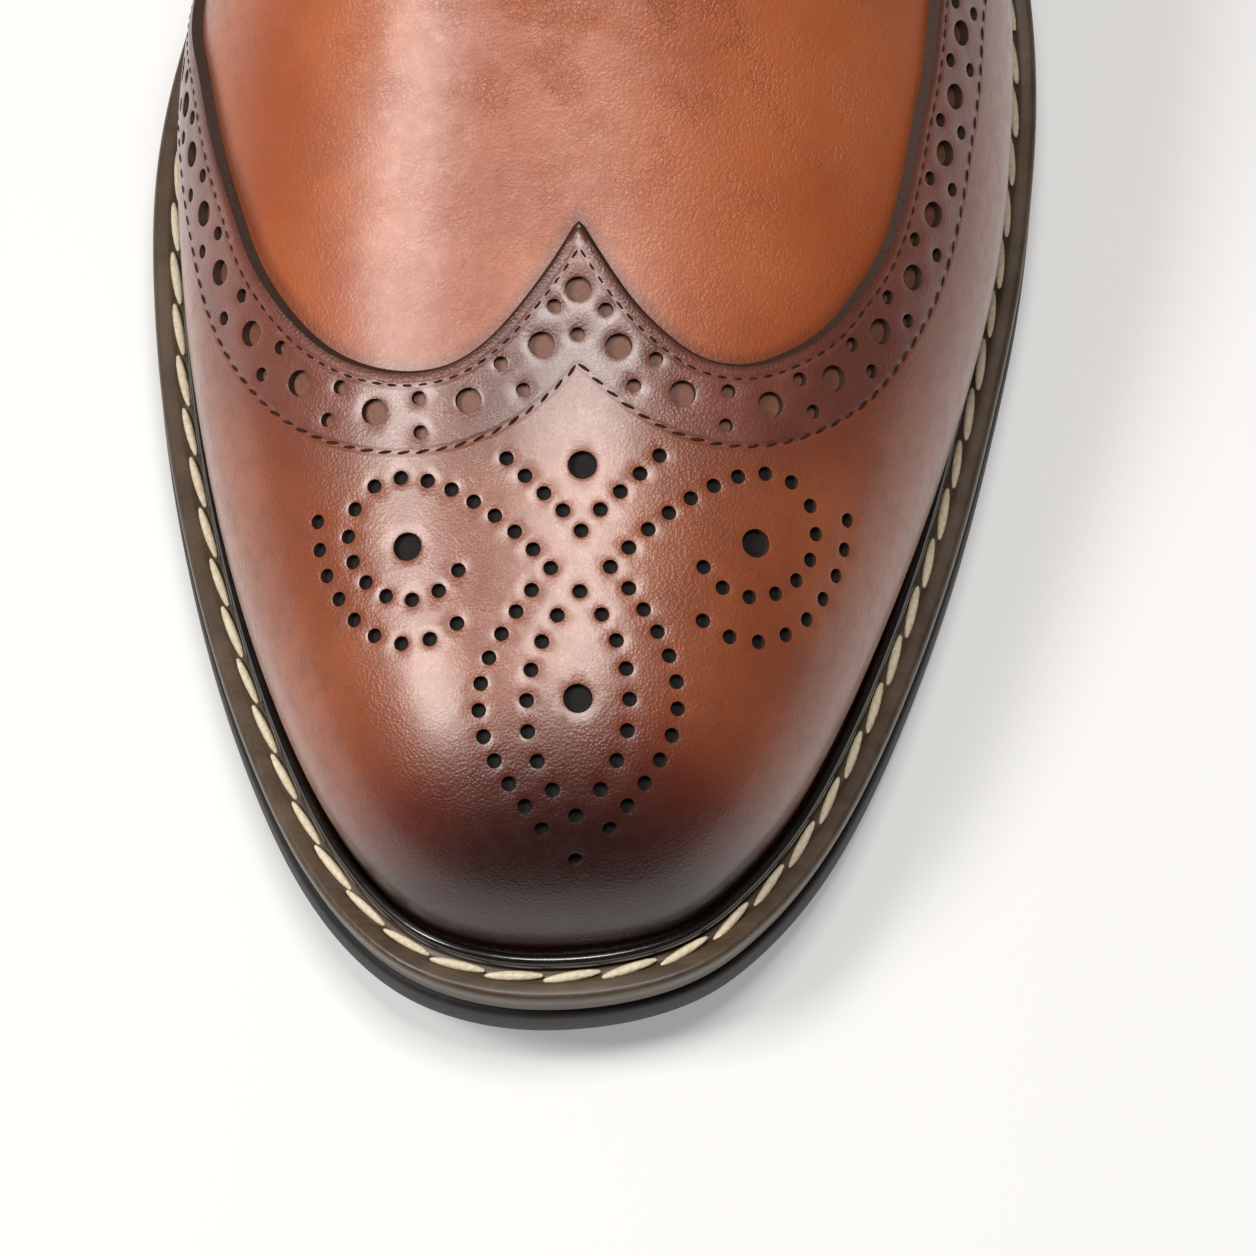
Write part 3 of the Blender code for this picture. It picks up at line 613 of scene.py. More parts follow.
def spaced(spots, pitch, start=0.5, end=0.0):
    """Spots at an even pitch along a line. start: share of a pitch before the first."""
    run = run_of(at(spots))
    wanted = np.arange(start * pitch, run[-1] - end, pitch)
    return spots_on(spots[0, 0], *[np.interp(wanted, run, spots[:, k]) for k in (1, 2)])


def directions(points):
    along = np.gradient(points, axis=0)
    return along / np.linalg.norm(along, axis=1, keepdims=True)


def inset_rows(spots, depth, towards):
    """A line on the last moved sideways by depth, and which of its rows are left on its own side."""
    line = spots.copy()
    depth = np.broadcast_to(np.asarray(depth, float), len(spots))
    left = np.arange(len(spots))
    steps = max(1, int(np.abs(depth).max() / 0.002))
    for _ in range(steps):
        across = np.cross(normals(line), directions(at(line)))
        if (across[len(across) // 2] * towards).sum() < 0:
            across = -across
        moved = walk(line, across * depth[:, None] / steps)
        keep = moved[:, 0] == spots[0, 0]
        line, depth, left = moved[keep], depth[keep], left[keep]
    return line, left


def inset_line(spots, depth, towards):
    return inset_rows(spots, depth, towards)[0]


def spot_at(x, y):
    """Spots on the last over plan points, in front of the heel."""
    x, y = np.broadcast_arrays(np.asarray(x, float), np.asarray(y, float))
    spots = []
    for px, py in zip(x.ravel(), y.ravel()):
        place = py / LENGTH + 0.5
        side = 1 if px > BALL_WIDTH * float(rib("ridge", place)) else -1
        ridge = BALL_WIDTH * float(rib("ridge", place))
        spots.append((side, place, girth_at_distance(side, place, side * (px - ridge))))
    return np.array(spots, float)


@lru_cache(maxsize=None)
def rib_arcs(side):
    """Distance from the ridge along ribs, on a grid of places and girths."""
    place, girth = np.meshgrid(FLAT_PLACES, np.linspace(0, 1, FLAT_COLUMNS), indexing="ij")
    grid = last_point(side, place, girth)
    steps = np.linalg.norm(np.diff(grid, axis=1), axis=2)
    arc = np.concatenate([np.zeros((FLAT_ROWS, 1)), np.cumsum(steps, axis=1)], 1)
    return arc[:, -1:] - arc


@lru_cache(maxsize=None)
def long_run(side, girth):
    """Distance from the toe along a line of even girth, at the grid's places."""
    return run_of(last_point(side, FLAT_PLACES, np.full(FLAT_ROWS, girth)))


def grid_place(place):
    return np.sqrt(np.clip((place - TIP) / (1 - TIP), 0, 1)) * (FLAT_ROWS - 1)


def arc_of(side, place, girth):
    table = rib_arcs(side)
    x = grid_place(place)
    y = np.clip(girth, 0, 1) * (FLAT_COLUMNS - 1)
    i = np.minimum(x.astype(int), FLAT_ROWS - 2)
    j = np.minimum(y.astype(int), FLAT_COLUMNS - 2)
    a = x - i
    b = y - j
    low = (1 - b) * table[i, j] + b * table[i, j + 1]
    high = (1 - b) * table[i + 1, j] + b * table[i + 1, j + 1]
    return (1 - a) * low + a * high


def flat_front(spots):
    """Spots laid out flat: distance from the ridge along ribs, distance along the ridge."""
    flat = np.empty((len(spots), 2))
    for side in (-1, 1):
        rows = spots[:, 0] == side
        flat[rows, 0] = side * arc_of(side, spots[rows, 1], spots[rows, 2])
        flat[rows, 1] = np.interp(grid_place(spots[rows, 1]), np.arange(FLAT_ROWS), long_run(-1, 1.0))
    return flat


def flat_back(spots):
    """Spots laid out flat from the back of the heel."""
    flat = np.empty((len(spots), 2))
    for side in (-1, 1):
        rows = spots[:, 0] == side
        run = long_run(side, 0.3)
        flat[rows, 0] = side * (run[-1] - np.interp(grid_place(spots[rows, 1]), np.arange(FLAT_ROWS), run))
        flat[rows, 1] = -arc_of(side, spots[rows, 1], spots[rows, 2])
    return flat


def fill_spots(spacing, first, last, low_girth, sides=(-1, 1)):
    """Spots spread evenly between two places, from a girth place up to the ridge."""
    found = []
    ridge = long_run(-1, 1.0)
    start, end = np.interp([first, last], FLAT_PLACES, ridge)
    for k, run in enumerate(np.arange(start + spacing / 2, end, spacing * 0.87)):
        place = np.interp(run, ridge, FLAT_PLACES)
        for side in sides:
            girths = np.linspace(low_girth, 1, FLAT_COLUMNS)
            arc = arc_of(side, np.full(FLAT_COLUMNS, place), girths)
            wanted = np.arange((k % 2) * spacing / 2 + (side < 0) * spacing * (1 - k % 2), arc[0], spacing)
            girth = np.interp(-wanted, -arc, girths)
            found.append(spots_on(side, place, girth))
    return np.concatenate(found)


def inside(polygon, points):
    """Which plane points lie inside a closed polygon."""
    result = np.zeros(len(points), bool)
    x, y = points[:, 0], points[:, 1]
    for (ax, ay), (bx, by) in zip(polygon, np.roll(polygon, -1, axis=0)):
        cross = (ay > y) != (by > y)
        with np.errstate(divide="ignore", invalid="ignore"):
            level_x = (bx - ax) * (y - ay) / (by - ay) + ax
        result ^= cross & (x < level_x)
    return result


def nearest(points, targets):
    """Distance from each point to the nearest target."""
    best = np.full(len(points), np.inf)
    for block in np.array_split(np.asarray(targets), max(1, len(targets) // 64)):
        gap = np.linalg.norm(points[:, None, :] - block[None, :, :], axis=2)
        best = np.minimum(best, gap.min(1))
    return best


def rings_round(holes, beyond, counts):
    """Spots on a circle round each hole, as one array for each."""
    centres = np.array([spot for spot, _, _ in holes], float)
    normal = np.repeat(normals(centres), counts, 0)
    radius = np.repeat([size + beyond for _, size, _ in holes], counts)
    first = np.cross(normal, [0.0, 1.0, 0.0])
    first /= np.linalg.norm(first, axis=1, keepdims=True)
    second = np.cross(normal, first)
    angle = np.concatenate([np.linspace(0, 2 * pi, count, endpoint=False) for count in counts])
    move = radius[:, None] * (np.cos(angle)[:, None] * first + np.sin(angle)[:, None] * second)
    return np.split(walk(np.repeat(centres, counts, 0), move), np.cumsum(counts)[:-1])


def new_mesh(name, points, faces, materials, slots=None):
    """An object from points and faces, with its materials. slots: each face's material number."""
    mesh = bpy.data.meshes.new(name)
    mesh.from_pydata([tuple(p) for p in np.asarray(points).tolist()], [], [tuple(map(int, f)) for f in faces])
    for material in materials:
        mesh.materials.append(material)
    if slots is not None:
        mesh.polygons.foreach_set("material_index", np.asarray(slots, np.int32))
    mesh.shade_smooth()
    mesh.update()
    thing = bpy.data.objects.new(name, mesh)
    bpy.context.scene.collection.objects.link(thing)
    return thing


def add_quads(faces, grid, flip):
    for a, b in zip(grid[:-1], grid[1:]):
        for p, q, r, s in zip(a[:-1], a[1:], b[1:], b[:-1]):
            faces.append((p, q, r, s) if not flip else (s, r, q, p))


def add_hoops(faces, loops):
    """Faces between each closed loop of points and the next."""
    for a, b in zip(loops[:-1], loops[1:]):
        faces += list(zip(a, np.roll(a, -1), np.roll(b, -1), b))


def clean(thing, weld=0.0, shortest=0.0, closed=True):
    """Joins points that meet, drops faces without area and turns the faces of a closed mesh out."""
    work = bmesh.new()
    work.from_mesh(thing.data)
    if weld:
        bmesh.ops.remove_doubles(work, verts=work.verts, dist=weld)
        bmesh.ops.dissolve_degenerate(work, dist=shortest, edges=work.edges)
    if closed:
        bmesh.ops.recalc_face_normals(work, faces=work.faces)
        if work.calc_volume(signed=True) < 0:
            bmesh.ops.reverse_faces(work, faces=work.faces)
    work.to_mesh(thing.data)
    work.free()


def add_values(thing, name, values):
    """A number at each point of a mesh, which its material reads."""
    layer = thing.data.attributes.new(name, "FLOAT", "POINT")
    layer.data.foreach_set("value", np.asarray(values, np.float32))


def panel_border(outline, flat):
    """The outline turned anticlockwise, its points, the way into the panel, and spots just inside it."""
    loop = flat(outline)
    ahead = np.roll(loop, -1, axis=0)
    if (loop[:, 0] * ahead[:, 1] - ahead[:, 0] * loop[:, 1]).sum() < 0:
        outline = outline[::-1]
        loop = loop[::-1]
    points = at(outline)
    tangent = np.roll(points, -1, axis=0) - np.roll(points, 1, axis=0)
    tangent /= np.linalg.norm(tangent, axis=1, keepdims=True)
    inward = np.cross(normals(outline), tangent)
    within = walk(outline, inward * EDGE_ROUND)
    if inside(loop, flat(within)).mean() < 0.5:
        inward = -inward
        within = walk(outline, inward * EDGE_ROUND)
    return outline, loop, points, inward, within[inside(loop, flat(within))]


def panel_triangles(plane, loop, edges, rims):
    """Triangles between flat points, inside a loop and outside the holes.
    rims: (first point, sides, kind) of each hole."""
    result = delaunay_2d_cdt([Vector(p) for p in plane.tolist()], edges, [], 0, 1e-5, True)
    source = np.array([origin[0] if origin else -1 for origin in result[3]])
    triangles = source[np.array(result[2])]
    triangles = triangles[(triangles >= 0).all(1)]
    rim_of = np.full(len(plane), -1)
    for number, (first, steps, _) in enumerate(rims):
        rim_of[first : first + steps] = number
    owner = rim_of[triangles]
    in_hole = (owner[:, 0] >= 0) & (owner[:, 0] == owner[:, 1]) & (owner[:, 1] == owner[:, 2])
    triangles = triangles[inside(loop, plane[triangles].mean(1)) & ~in_hole]
    a, b, c = (plane[triangles[:, k]] for k in range(3))
    area = (b[:, 0] - a[:, 0]) * (c[:, 1] - a[:, 1]) - (b[:, 1] - a[:, 1]) * (c[:, 0] - a[:, 0])
    return triangles[np.abs(area) > 1e-7]


def panel(name, outline, holes, flat, fill, top, bottom, materials, flare=0.0):
    """A leather panel on the last with a rounded cut edge and punched holes, and the spots of its face.
    outline: closed loop of spots. holes: rows of (spot, radius, kind). flare: how far its foot stands out."""
    outline, loop, border, inward, within = panel_border(outline, flat)
    count = len(outline)
    spots = [outline, within]
    depth = [np.full(count, EDGE_DROP), np.zeros(len(within))]
    edges = [(i, (i + 1) % count) for i in range(count)]
    start = count + len(within)
    rims = []
    centres = np.array([spot for spot, _, _ in holes])
    counts = [HOLE_SIDES if radius > FULL_HOLE else HOLE_SIDES * 4 // 5 for _, radius, _ in holes]
    inner = rings_round(holes, 0.0, counts) if holes else []
    outer = rings_round(holes, HOLE_ROUND, counts) if holes else []
    for (_, _, kind), steps, rim, collar in zip(holes, counts, inner, outer):
        rims.append((start, steps, kind))
        edges += [(start + i, start + (i + 1) % steps) for i in range(steps)]
        spots += [rim, collar]
        depth += [np.full(steps, HOLE_DROP), np.zeros(steps)]
        start += 2 * steps
    world_fill = at(fill)
    keep = inside(loop, flat(fill)) & (nearest(world_fill, border) > EDGE_CLEAR)
    if holes:
        reach = np.array([radius for _, radius, _ in holes]) + HOLE_CLEAR
        near = np.linalg.norm(world_fill[:, None] - at(centres)[None], axis=2) < reach[None]
        keep &= ~near.any(1)
    spots = np.concatenate(spots + [fill[keep]])
    depth = np.concatenate(depth + [np.zeros(keep.sum())])
    triangles = panel_triangles(flat(spots) * 1000, loop * 1000, edges, rims)
    points = at(spots, top - depth)
    a, b, c = (points[triangles[:, k]] for k in range(3))
    away = (np.cross(b - a, c - a) * normals(spots)[triangles[:, 0]]).sum(1)
    triangles[away < 0] = triangles[away < 0][:, ::-1]
    faces = [tuple(t) for t in triangles.tolist()]
    slots = [0] * len(faces)
    points = points.tolist()
    facing_up = np.sign(np.cross(border[1] - border[0], inward[0]) @ normals(outline[:1])[0])
    base = len(points)
    foot = walk(outline, -inward * flare) if flare else outline
    points += at(foot, bottom).tolist()
    for i in range(count):
        j = (i + 1) % count
        faces.append((i, base + i, base + j, j) if facing_up > 0 else (i, j, base + j, base + i))
        slots.append(1)
    if holes:
        add_hole_walls(spots, centres, rims, points, faces, slots)
    thing = new_mesh(name, points, faces, materials, slots)
    thing.data.set_sharp_from_angle(angle=radians(42))
    return thing, spots


def add_hole_walls(spots, centres, rims, points, faces, slots):
    """The wall and the floor of each punched hole."""
    floors = at(spots, BASE + HOLE_FLOOR)
    middles = at(centres, BASE + HOLE_FLOOR)
    for (first, steps, kind), middle, up_way in zip(rims, middles, normals(centres)):
        ring = floors[first : first + steps]
        base = len(points)
        points += ring.tolist()
        points.append(middle.tolist())
        up = np.cross(ring[1] - ring[0], ring[0] - middle) @ up_way > 0
        for i in range(steps):
            j = (i + 1) % steps
            wall = (first + i, first + j, base + j, base + i)
            floor = (base + i, base + j, base + steps)
            faces.append(wall if up else wall[::-1])
            faces.append(floor if up else floor[::-1])
            slots += [1, 2 + kind]


# Materials


class Shader:
    """Builds one procedural material."""

    def __init__(self, name, roughness=0.5, **fixed):
        self.material = bpy.data.materials.new(name)
        self.material.use_nodes = True
        self.tree = self.material.node_tree
        self.main = self.tree.nodes["Principled BSDF"]
        self.main.inputs["Roughness"].default_value = roughness
        for key, value in fixed.items():
            self.main.inputs[key.replace("_", " ")].default_value = value
        self.place = self.add("ShaderNodeTexCoord").outputs["Object"]
        self.bumped = None

    def add(self, kind, links=(), **settings):
        node = self.tree.nodes.new(kind)
        for key, value in settings.items():
            setattr(node, key, value)
        for socket, value in dict(links).items():
            if isinstance(value, bpy.types.NodeSocket):
                self.tree.links.new(value, node.inputs[socket])
            else:
                node.inputs[socket].default_value = value
        return node

    def tinted(self, colour, share, tint, low, high, start=0.0, end=1.0):
        """A colour that turns to a tint as share goes from low to high."""
        return self.mixed(self.spread(share, low, high, start, end), colour, srgb(*tint))

    def mottled(self, share, low, high, first=0.35, last=0.65):
        """Two colours in soft patches."""
        return self.mixed(self.spread(share, first, last), srgb(*low), srgb(*high))

    def stretched(self, scale):
        return self.add("ShaderNodeMapping", {"Vector": self.place, "Scale": scale}).outputs[0]

    def noise(self, scale, detail=3.0, rough=0.5, vector=None):
        links = {"Vector": vector or self.place, "Scale": scale, "Detail": detail, "Roughness": rough}
        return self.add("ShaderNodeTexNoise", links).outputs["Fac"]

    def cells(self, scale):
        links = {"Vector": self.place, "Scale": scale}
        return self.add("ShaderNodeTexVoronoi", links, feature="F1").outputs["Distance"]

    def cracks(self, scale):
        """Fine creases of the grain, as a net of thin lines."""
        wobble = self.add("ShaderNodeTexNoise", {"Vector": self.place, "Scale": scale * 0.6, "Detail": 3.0})
        links = {0: wobble.outputs["Color"], "Scale": 0.9 / scale}
        drift = self.add("ShaderNodeVectorMath", links, operation="SCALE")
        moved = self.add("ShaderNodeVectorMath", {0: self.place, 1: drift.outputs[0]}, operation="ADD")
        links = {"Vector": moved.outputs[0], "Scale": scale}
        net = self.add("ShaderNodeTexVoronoi", links, feature="DISTANCE_TO_EDGE").outputs["Distance"]
        return self.spread(net, 0.0, 0.14, 1.0, 0.0)

    def value(self, name):
        return self.add("ShaderNodeAttribute", attribute_name=name).outputs["Fac"]

    def spread(self, value, low, high, start=0.0, end=1.0):
        links = {"Value": value, "From Min": low, "From Max": high, "To Min": start, "To Max": end}
        return self.add("ShaderNodeMapRange", links, interpolation_type="SMOOTHSTEP").outputs["Result"]

    def maths(self, operation, a, b=0.0):
        return self.add("ShaderNodeMath", {0: a, 1: b}, operation=operation).outputs[0]

    def mixed(self, share, a, b):
        return self.add("ShaderNodeMix", {0: share, 6: a, 7: b}, data_type="RGBA").outputs[2]

    def colour(self, value):
        self.tree.links.new(value, self.main.inputs["Base Color"])

    def rough(self, value):
        self.tree.links.new(value, self.main.inputs["Roughness"])

    def bump(self, height, distance):
        links = {"Height": height, "Distance": distance, "Strength": 1.0}
        if self.bumped is not None:
            links["Normal"] = self.bumped
        self.bumped = self.add("ShaderNodeBump", links).outputs["Normal"]
        self.tree.links.new(self.bumped, self.main.inputs["Normal"])


def grain(shader, depth=0.00004, fine=2600.0):
    """Pebbled grain of smooth leather with a finer pore."""
    pebbles = shader.cells(fine)
    pores = shader.noise(fine * 1.7, 2.0, 0.6)
    shader.bump(shader.maths("ADD", pebbles, shader.maths("MULTIPLY", pores, 0.6)), depth)


def groove(shader, past, width):
    """A soft furrow along a row of stitches, from the distance past it."""
    return shader.spread(shader.maths("ABSOLUTE", past), width * 0.15, width, 1.0, 0.0)


def make_wing_leather():
    shader = Shader("wing_leather", 0.36, Coat_Weight=0.6, Coat_Roughness=0.24)
    edge = shader.value("edge")
    polish_and_low_darkening = shader.value("polish_and_low_darkening")
    row = shader.value("lower_row")
    clouds = shader.noise(55.0, 4.0, 0.55)
    fine = shader.noise(420.0, 3.0, 0.6)
    side = shader.mottled(clouds, (140, 70, 40), (156, 84, 50))
    side = shader.tinted(side, fine, (108, 52, 32), 0.45, 0.75, 0.0, 0.35)
    side = shader.tinted(side, row, (112, 56, 40), 0.0, 0.009, 0.6, 0.0)
    band = shader.spread(row, -0.0003, 0.0003, 1.0, 0.0)
    band_colour = shader.mottled(clouds, (104, 54, 42), (126, 70, 56))
    colour = shader.mixed(band, side, band_colour)
    colour = shader.tinted(colour, edge, (56, 28, 20), 0.0, 0.0009, 0.7, 0.0)
    # Darker at the toe's polish and along the lower sides towards the sole.
    mid = shader.tinted(colour, polish_and_low_darkening, (98, 38, 22), 0.0, 0.6)
    colour = shader.tinted(mid, polish_and_low_darkening, (42, 11, 5), 0.4, 1.0)
    shader.colour(colour)
    shader.rough(shader.spread(fine, 0.3, 0.7, 0.3, 0.42))
    grain(shader, 0.00005)
    both = shader.maths("ADD", groove(shader, shader.value("upper_row"), 0.0007), groove(shader, row, 0.0007))
    shader.bump(shader.maths("MULTIPLY", both, -1.0), 0.00014)
    return shader.material


def make_fibre(name, roughness, low, high, scale=1500.0, detail=3.0, depth=0.0):
    """Raw leather in a cut edge or under a punched hole. The near-black hole floors hold painted shade."""
    shader = Shader(name, roughness)
    fibre = shader.noise(scale, detail, 0.6)
    shader.colour(shader.mixed(fibre, srgb(*low), srgb(*high)))
    if depth:
        shader.bump(fibre, depth)
    return shader.material


# Near-black floor of the toe pattern's holes and of the eyelets: dark backing leather, painted darker as
# shade of the hole's depth.
def make_dark_shaded_floor():
    return make_fibre("dark_shaded_floor", 0.85, (12, 10, 10), (26, 20, 18), detail=2.0)


def make_vamp_leather():
    shader = Shader("vamp_leather", 0.42, Coat_Weight=0.6, Coat_Roughness=0.3)
    clouds = shader.noise(45.0, 4.0, 0.55)
    fine = shader.noise(500.0, 4.0, 0.6)
    colour = shader.mottled(clouds, (164, 80, 38), (180, 94, 48))
    colour = shader.tinted(colour, fine, (136, 62, 30), 0.5, 0.8, 0.0, 0.3)
    # Darker towards the sole, by the value that make_skin sets.
    colour = shader.mixed(shader.value("polish_and_low_darkening"), colour, srgb(104, 46, 26))
    # Painted shade under the wing's overlapping edge, partly burnish: the vamp darkens within 2 mm of the
    # wing's edge.
    colour = shader.tinted(colour, shader.value("edge"), (92, 40, 22), 0.0, 0.002, 0.6, 0.0)
    shader.colour(colour)
    shader.rough(shader.spread(fine, 0.3, 0.7, 0.36, 0.5))
    grain(shader, 0.00004, 2200.0)
    patches = shader.spread(shader.noise(140.0, 3.0, 0.6), 0.4, 0.65, 0.1, 1.0)
    worn = shader.maths("MULTIPLY", patches, shader.value("flex"))
    for scale, depth in ((950.0, 0.00006), (1900.0, 0.00004)):
        shader.bump(shader.maths("MULTIPLY", shader.cracks(scale), worn), -depth)
    return shader.material


def make_dark_leather(name, gain=1.0):
    """Leather of the facings, the heel counter and the tongue."""
    shader = Shader(name, 0.38, Coat_Weight=0.2, Coat_Roughness=0.3)
    edge = shader.value("edge")
    clouds = shader.noise(60.0, 4.0, 0.55)
    fine = shader.noise(450.0, 3.0, 0.6)
    colour = shader.mottled(clouds, (104, 57, 46, gain), (124, 70, 56, gain))
    colour = shader.tinted(colour, fine, (84, 42, 32, gain), 0.45, 0.75, 0.0, 0.3)
    colour = shader.tinted(colour, edge, (48, 26, 20), 0.0, 0.0009, 0.8, 0.0)
    shader.colour(colour)
    shader.rough(shader.spread(fine, 0.3, 0.7, 0.32, 0.46))
    grain(shader, 0.00005)
    first = shader.maths("SUBTRACT", edge, TRIM_ROW)
    second = shader.maths("SUBTRACT", edge, 2 * TRIM_ROW)
    sunk = shader.maths("ADD", groove(shader, first, 0.0009), groove(shader, second, 0.0009))
    shader.bump(shader.maths("MULTIPLY", sunk, -1.0), 0.0002)
    return shader.material


def make_lining_leather(name="lining_leather", light=(196, 158, 116), deep=(170, 130, 90)):
    shader = Shader(name, 0.7)
    clouds = shader.noise(80.0, 4.0, 0.6)
    fine = shader.noise(900.0, 3.0, 0.6)
    colour = shader.mixed(clouds, srgb(*light), srgb(*deep))
    shader.colour(shader.tinted(colour, fine, (140, 104, 70), 0.5, 0.8, 0.0, 0.3))
    grain(shader, 0.00004, 1800.0)
    return shader.material


def make_edge_leather(name, low, high, roughness=0.45, coat=0.15, lines=0.0):
    """Sole leather seen on its edge or its top, with fine streaks along the edge."""
    shader = Shader(name, roughness, Coat_Weight=coat, Coat_Roughness=0.35)
    streaks = shader.noise(1.0, 4.0, 0.6, shader.stretched((160.0, 160.0, 2600.0)))
    clouds = shader.noise(70.0, 3.0, 0.6)
    share = shader.maths("MULTIPLY", shader.maths("ADD", streaks, clouds), 0.5)
    colour = shader.mottled(share, low, high)
    if lines:
        height = shader.add("ShaderNodeSeparateXYZ", {"Vector": shader.place}).outputs["Z"]
        layer = shader.maths("FRACT", shader.maths("DIVIDE", height, lines))
        seam = shader.spread(shader.maths("ABSOLUTE", shader.maths("SUBTRACT", layer, 0.5)), 0.42, 0.5)
        colour = shader.mixed(seam, colour, srgb(18, 12, 10))
        shader.bump(shader.maths("MULTIPLY", seam, -1.0), 0.0002)
    shader.colour(colour)
    shader.rough(shader.spread(clouds, 0.3, 0.7, roughness - 0.06, roughness + 0.08))
    shader.bump(streaks, 0.00012)
    return shader.material


def make_rubber(name, low, high):
    shader = Shader(name, 0.62)
    speck = shader.noise(1400.0, 3.0, 0.6)
    clouds = shader.noise(90.0, 3.0, 0.6)
    shader.colour(shader.mottled(clouds, low, high, 0.3, 0.7))
    shader.bump(speck, 0.00008)
    return shader.material


def make_rand_leather():
    shader = Shader("rand_leather", 0.2, Coat_Weight=0.6, Coat_Roughness=0.12)
    clouds = shader.noise(160.0, 3.0, 0.6)
    shader.colour(shader.mixed(clouds, srgb(14, 11, 9), srgb(30, 23, 18)))
    shader.rough(shader.spread(clouds, 0.3, 0.7, 0.16, 0.3))
    shader.bump(clouds, 0.00015)
    return shader.material


def make_thread(name, low, high, roughness=0.6):
    """Twisted thread."""
    shader = Shader(name, roughness, Specular_IOR_Level=0.25)
    plies = shader.noise(1500.0, 3.0, 0.6)
    shader.colour(shader.mottled(plies, low, high))
    shader.bump(plies, 0.0002)
    return shader.material


def make_braid():
    """Waxed cotton lace with a braid worked out from its own length and turn."""
    shader = Shader("lace_braid", 0.55, Sheen_Weight=0.1)
    along = shader.maths("MULTIPLY", shader.value("along"), 2 * pi / 0.0022)
    round_it = shader.maths("MULTIPLY", shader.value("turn"), 4.0)
    one = shader.maths("SINE", shader.maths("ADD", along, round_it))
    two = shader.maths("SINE", shader.maths("SUBTRACT", along, round_it))
    weave = shader.maths("MAXIMUM", one, two)
    # The braid is darker in its hollows and lighter on its strands' crests: painted shade.
    shader.colour(shader.mixed(shader.spread(weave, 0.0, 1.0), srgb(20, 12, 9), srgb(52, 32, 24)))
    shader.bump(weave, 0.00012)
    return shader.material


def make_floor_paint():
    shader = Shader("floor", 0.9, Specular_IOR_Level=0.1, Emission_Color=(1, 1, 1, 1), Emission_Strength=0.3)
    clouds = shader.noise(3.0, 2.0, 0.5)
    shader.colour(shader.mixed(clouds, srgb(214, 214, 214), srgb(218, 218, 218)))
    return shader.material


# Stitches


def make_stitch_tree():
    """Geometry Nodes: one spindle of thread at each point, turned along the row and over the leather."""
    tree = bpy.data.node_groups.new("stitch_row", "GeometryNodeTree")
    face = tree.interface
    face.new_socket("Geometry", in_out="INPUT", socket_type="NodeSocketGeometry")
    for name in ("Length", "Width", "Height", "Slant"):
        face.new_socket(name, in_out="INPUT", socket_type="NodeSocketFloat")
    face.new_socket("Thread", in_out="INPUT", socket_type="NodeSocketMaterial")
    face.new_socket("Geometry", in_out="OUTPUT", socket_type="NodeSocketGeometry")

    def node(kind, values=(), **settings):
        made = tree.nodes.new(kind)
        for key, value in settings.items():
            setattr(made, key, value)
        for socket, value in dict(values).items():
            if isinstance(value, bpy.types.NodeSocket):
                tree.links.new(value, made.inputs[socket])
            else:
                made.inputs[socket].default_value = value
        return made

    source = node("NodeGroupInput")
    spindle = node("GeometryNodeMeshUVSphere", {"Segments": 10, "Rings": 7, "Radius": 0.5})
    stand = node("ShaderNodeCombineXYZ", {"Y": pi / 2})
    lie = node("GeometryNodeTransform", {"Geometry": spindle.outputs["Mesh"], "Rotation": stand.outputs[0]})
    sides = (source.outputs[name] for name in ("Length", "Width", "Height"))
    size = node("ShaderNodeCombineXYZ", dict(zip("XYZ", sides)))
    slant = node("ShaderNodeCombineXYZ", {"Z": source.outputs["Slant"]})
    links = {"Geometry": lie.outputs["Geometry"], "Rotation": slant.outputs[0], "Scale": size.outputs[0]}
    shape = node("GeometryNodeTransform", links)
    up, along = (
        node("GeometryNodeInputNamedAttribute", {"Name": name}, data_type="FLOAT_VECTOR").outputs["Attribute"]
        for name in ("up", "along")
    )
    axes = node("FunctionNodeAxesToRotation", {0: up, 1: along}, primary_axis="Z", secondary_axis="X")
    vary = node("FunctionNodeRandomValue", {2: 0.93, 3: 1.05, "Seed": 7}, data_type="FLOAT")
    links = {"Points": source.outputs["Geometry"], "Instance": shape.outputs["Geometry"],
             "Rotation": axes.outputs[0], "Scale": vary.outputs[1]}
    place = node("GeometryNodeInstanceOnPoints", links)
    real = node("GeometryNodeRealizeInstances", {0: place.outputs[0]})
    soft = node("GeometryNodeSetShadeSmooth", {"Geometry": real.outputs[0]})
    links = {"Geometry": soft.outputs[0], "Material": source.outputs["Thread"]}
    node("NodeGroupOutput", {0: node("GeometryNodeSetMaterial", links).outputs[0]})
    return tree


def grown(carrier, tree, values):
    """The plain mesh that a tree makes from a carrier, as a new object with the carrier's name."""
    modifier = carrier.modifiers.new("grow", "NODES")
    modifier.node_group = tree
    for item in tree.interface.items_tree:
        if item.item_type == "SOCKET" and item.in_out == "INPUT" and item.name in values:
            modifier[item.identifier] = values[item.name]
    bpy.context.view_layer.update()
    graph = bpy.context.evaluated_depsgraph_get()
    mesh = bpy.data.meshes.new_from_object(carrier.evaluated_get(graph), depsgraph=graph)
    name = carrier.name
    carrier.modifiers.remove(modifier)
    bpy.data.objects.remove(carrier)
    mesh.name = name
    thing = bpy.data.objects.new(name, mesh)
    bpy.context.scene.collection.objects.link(thing)
    return thing


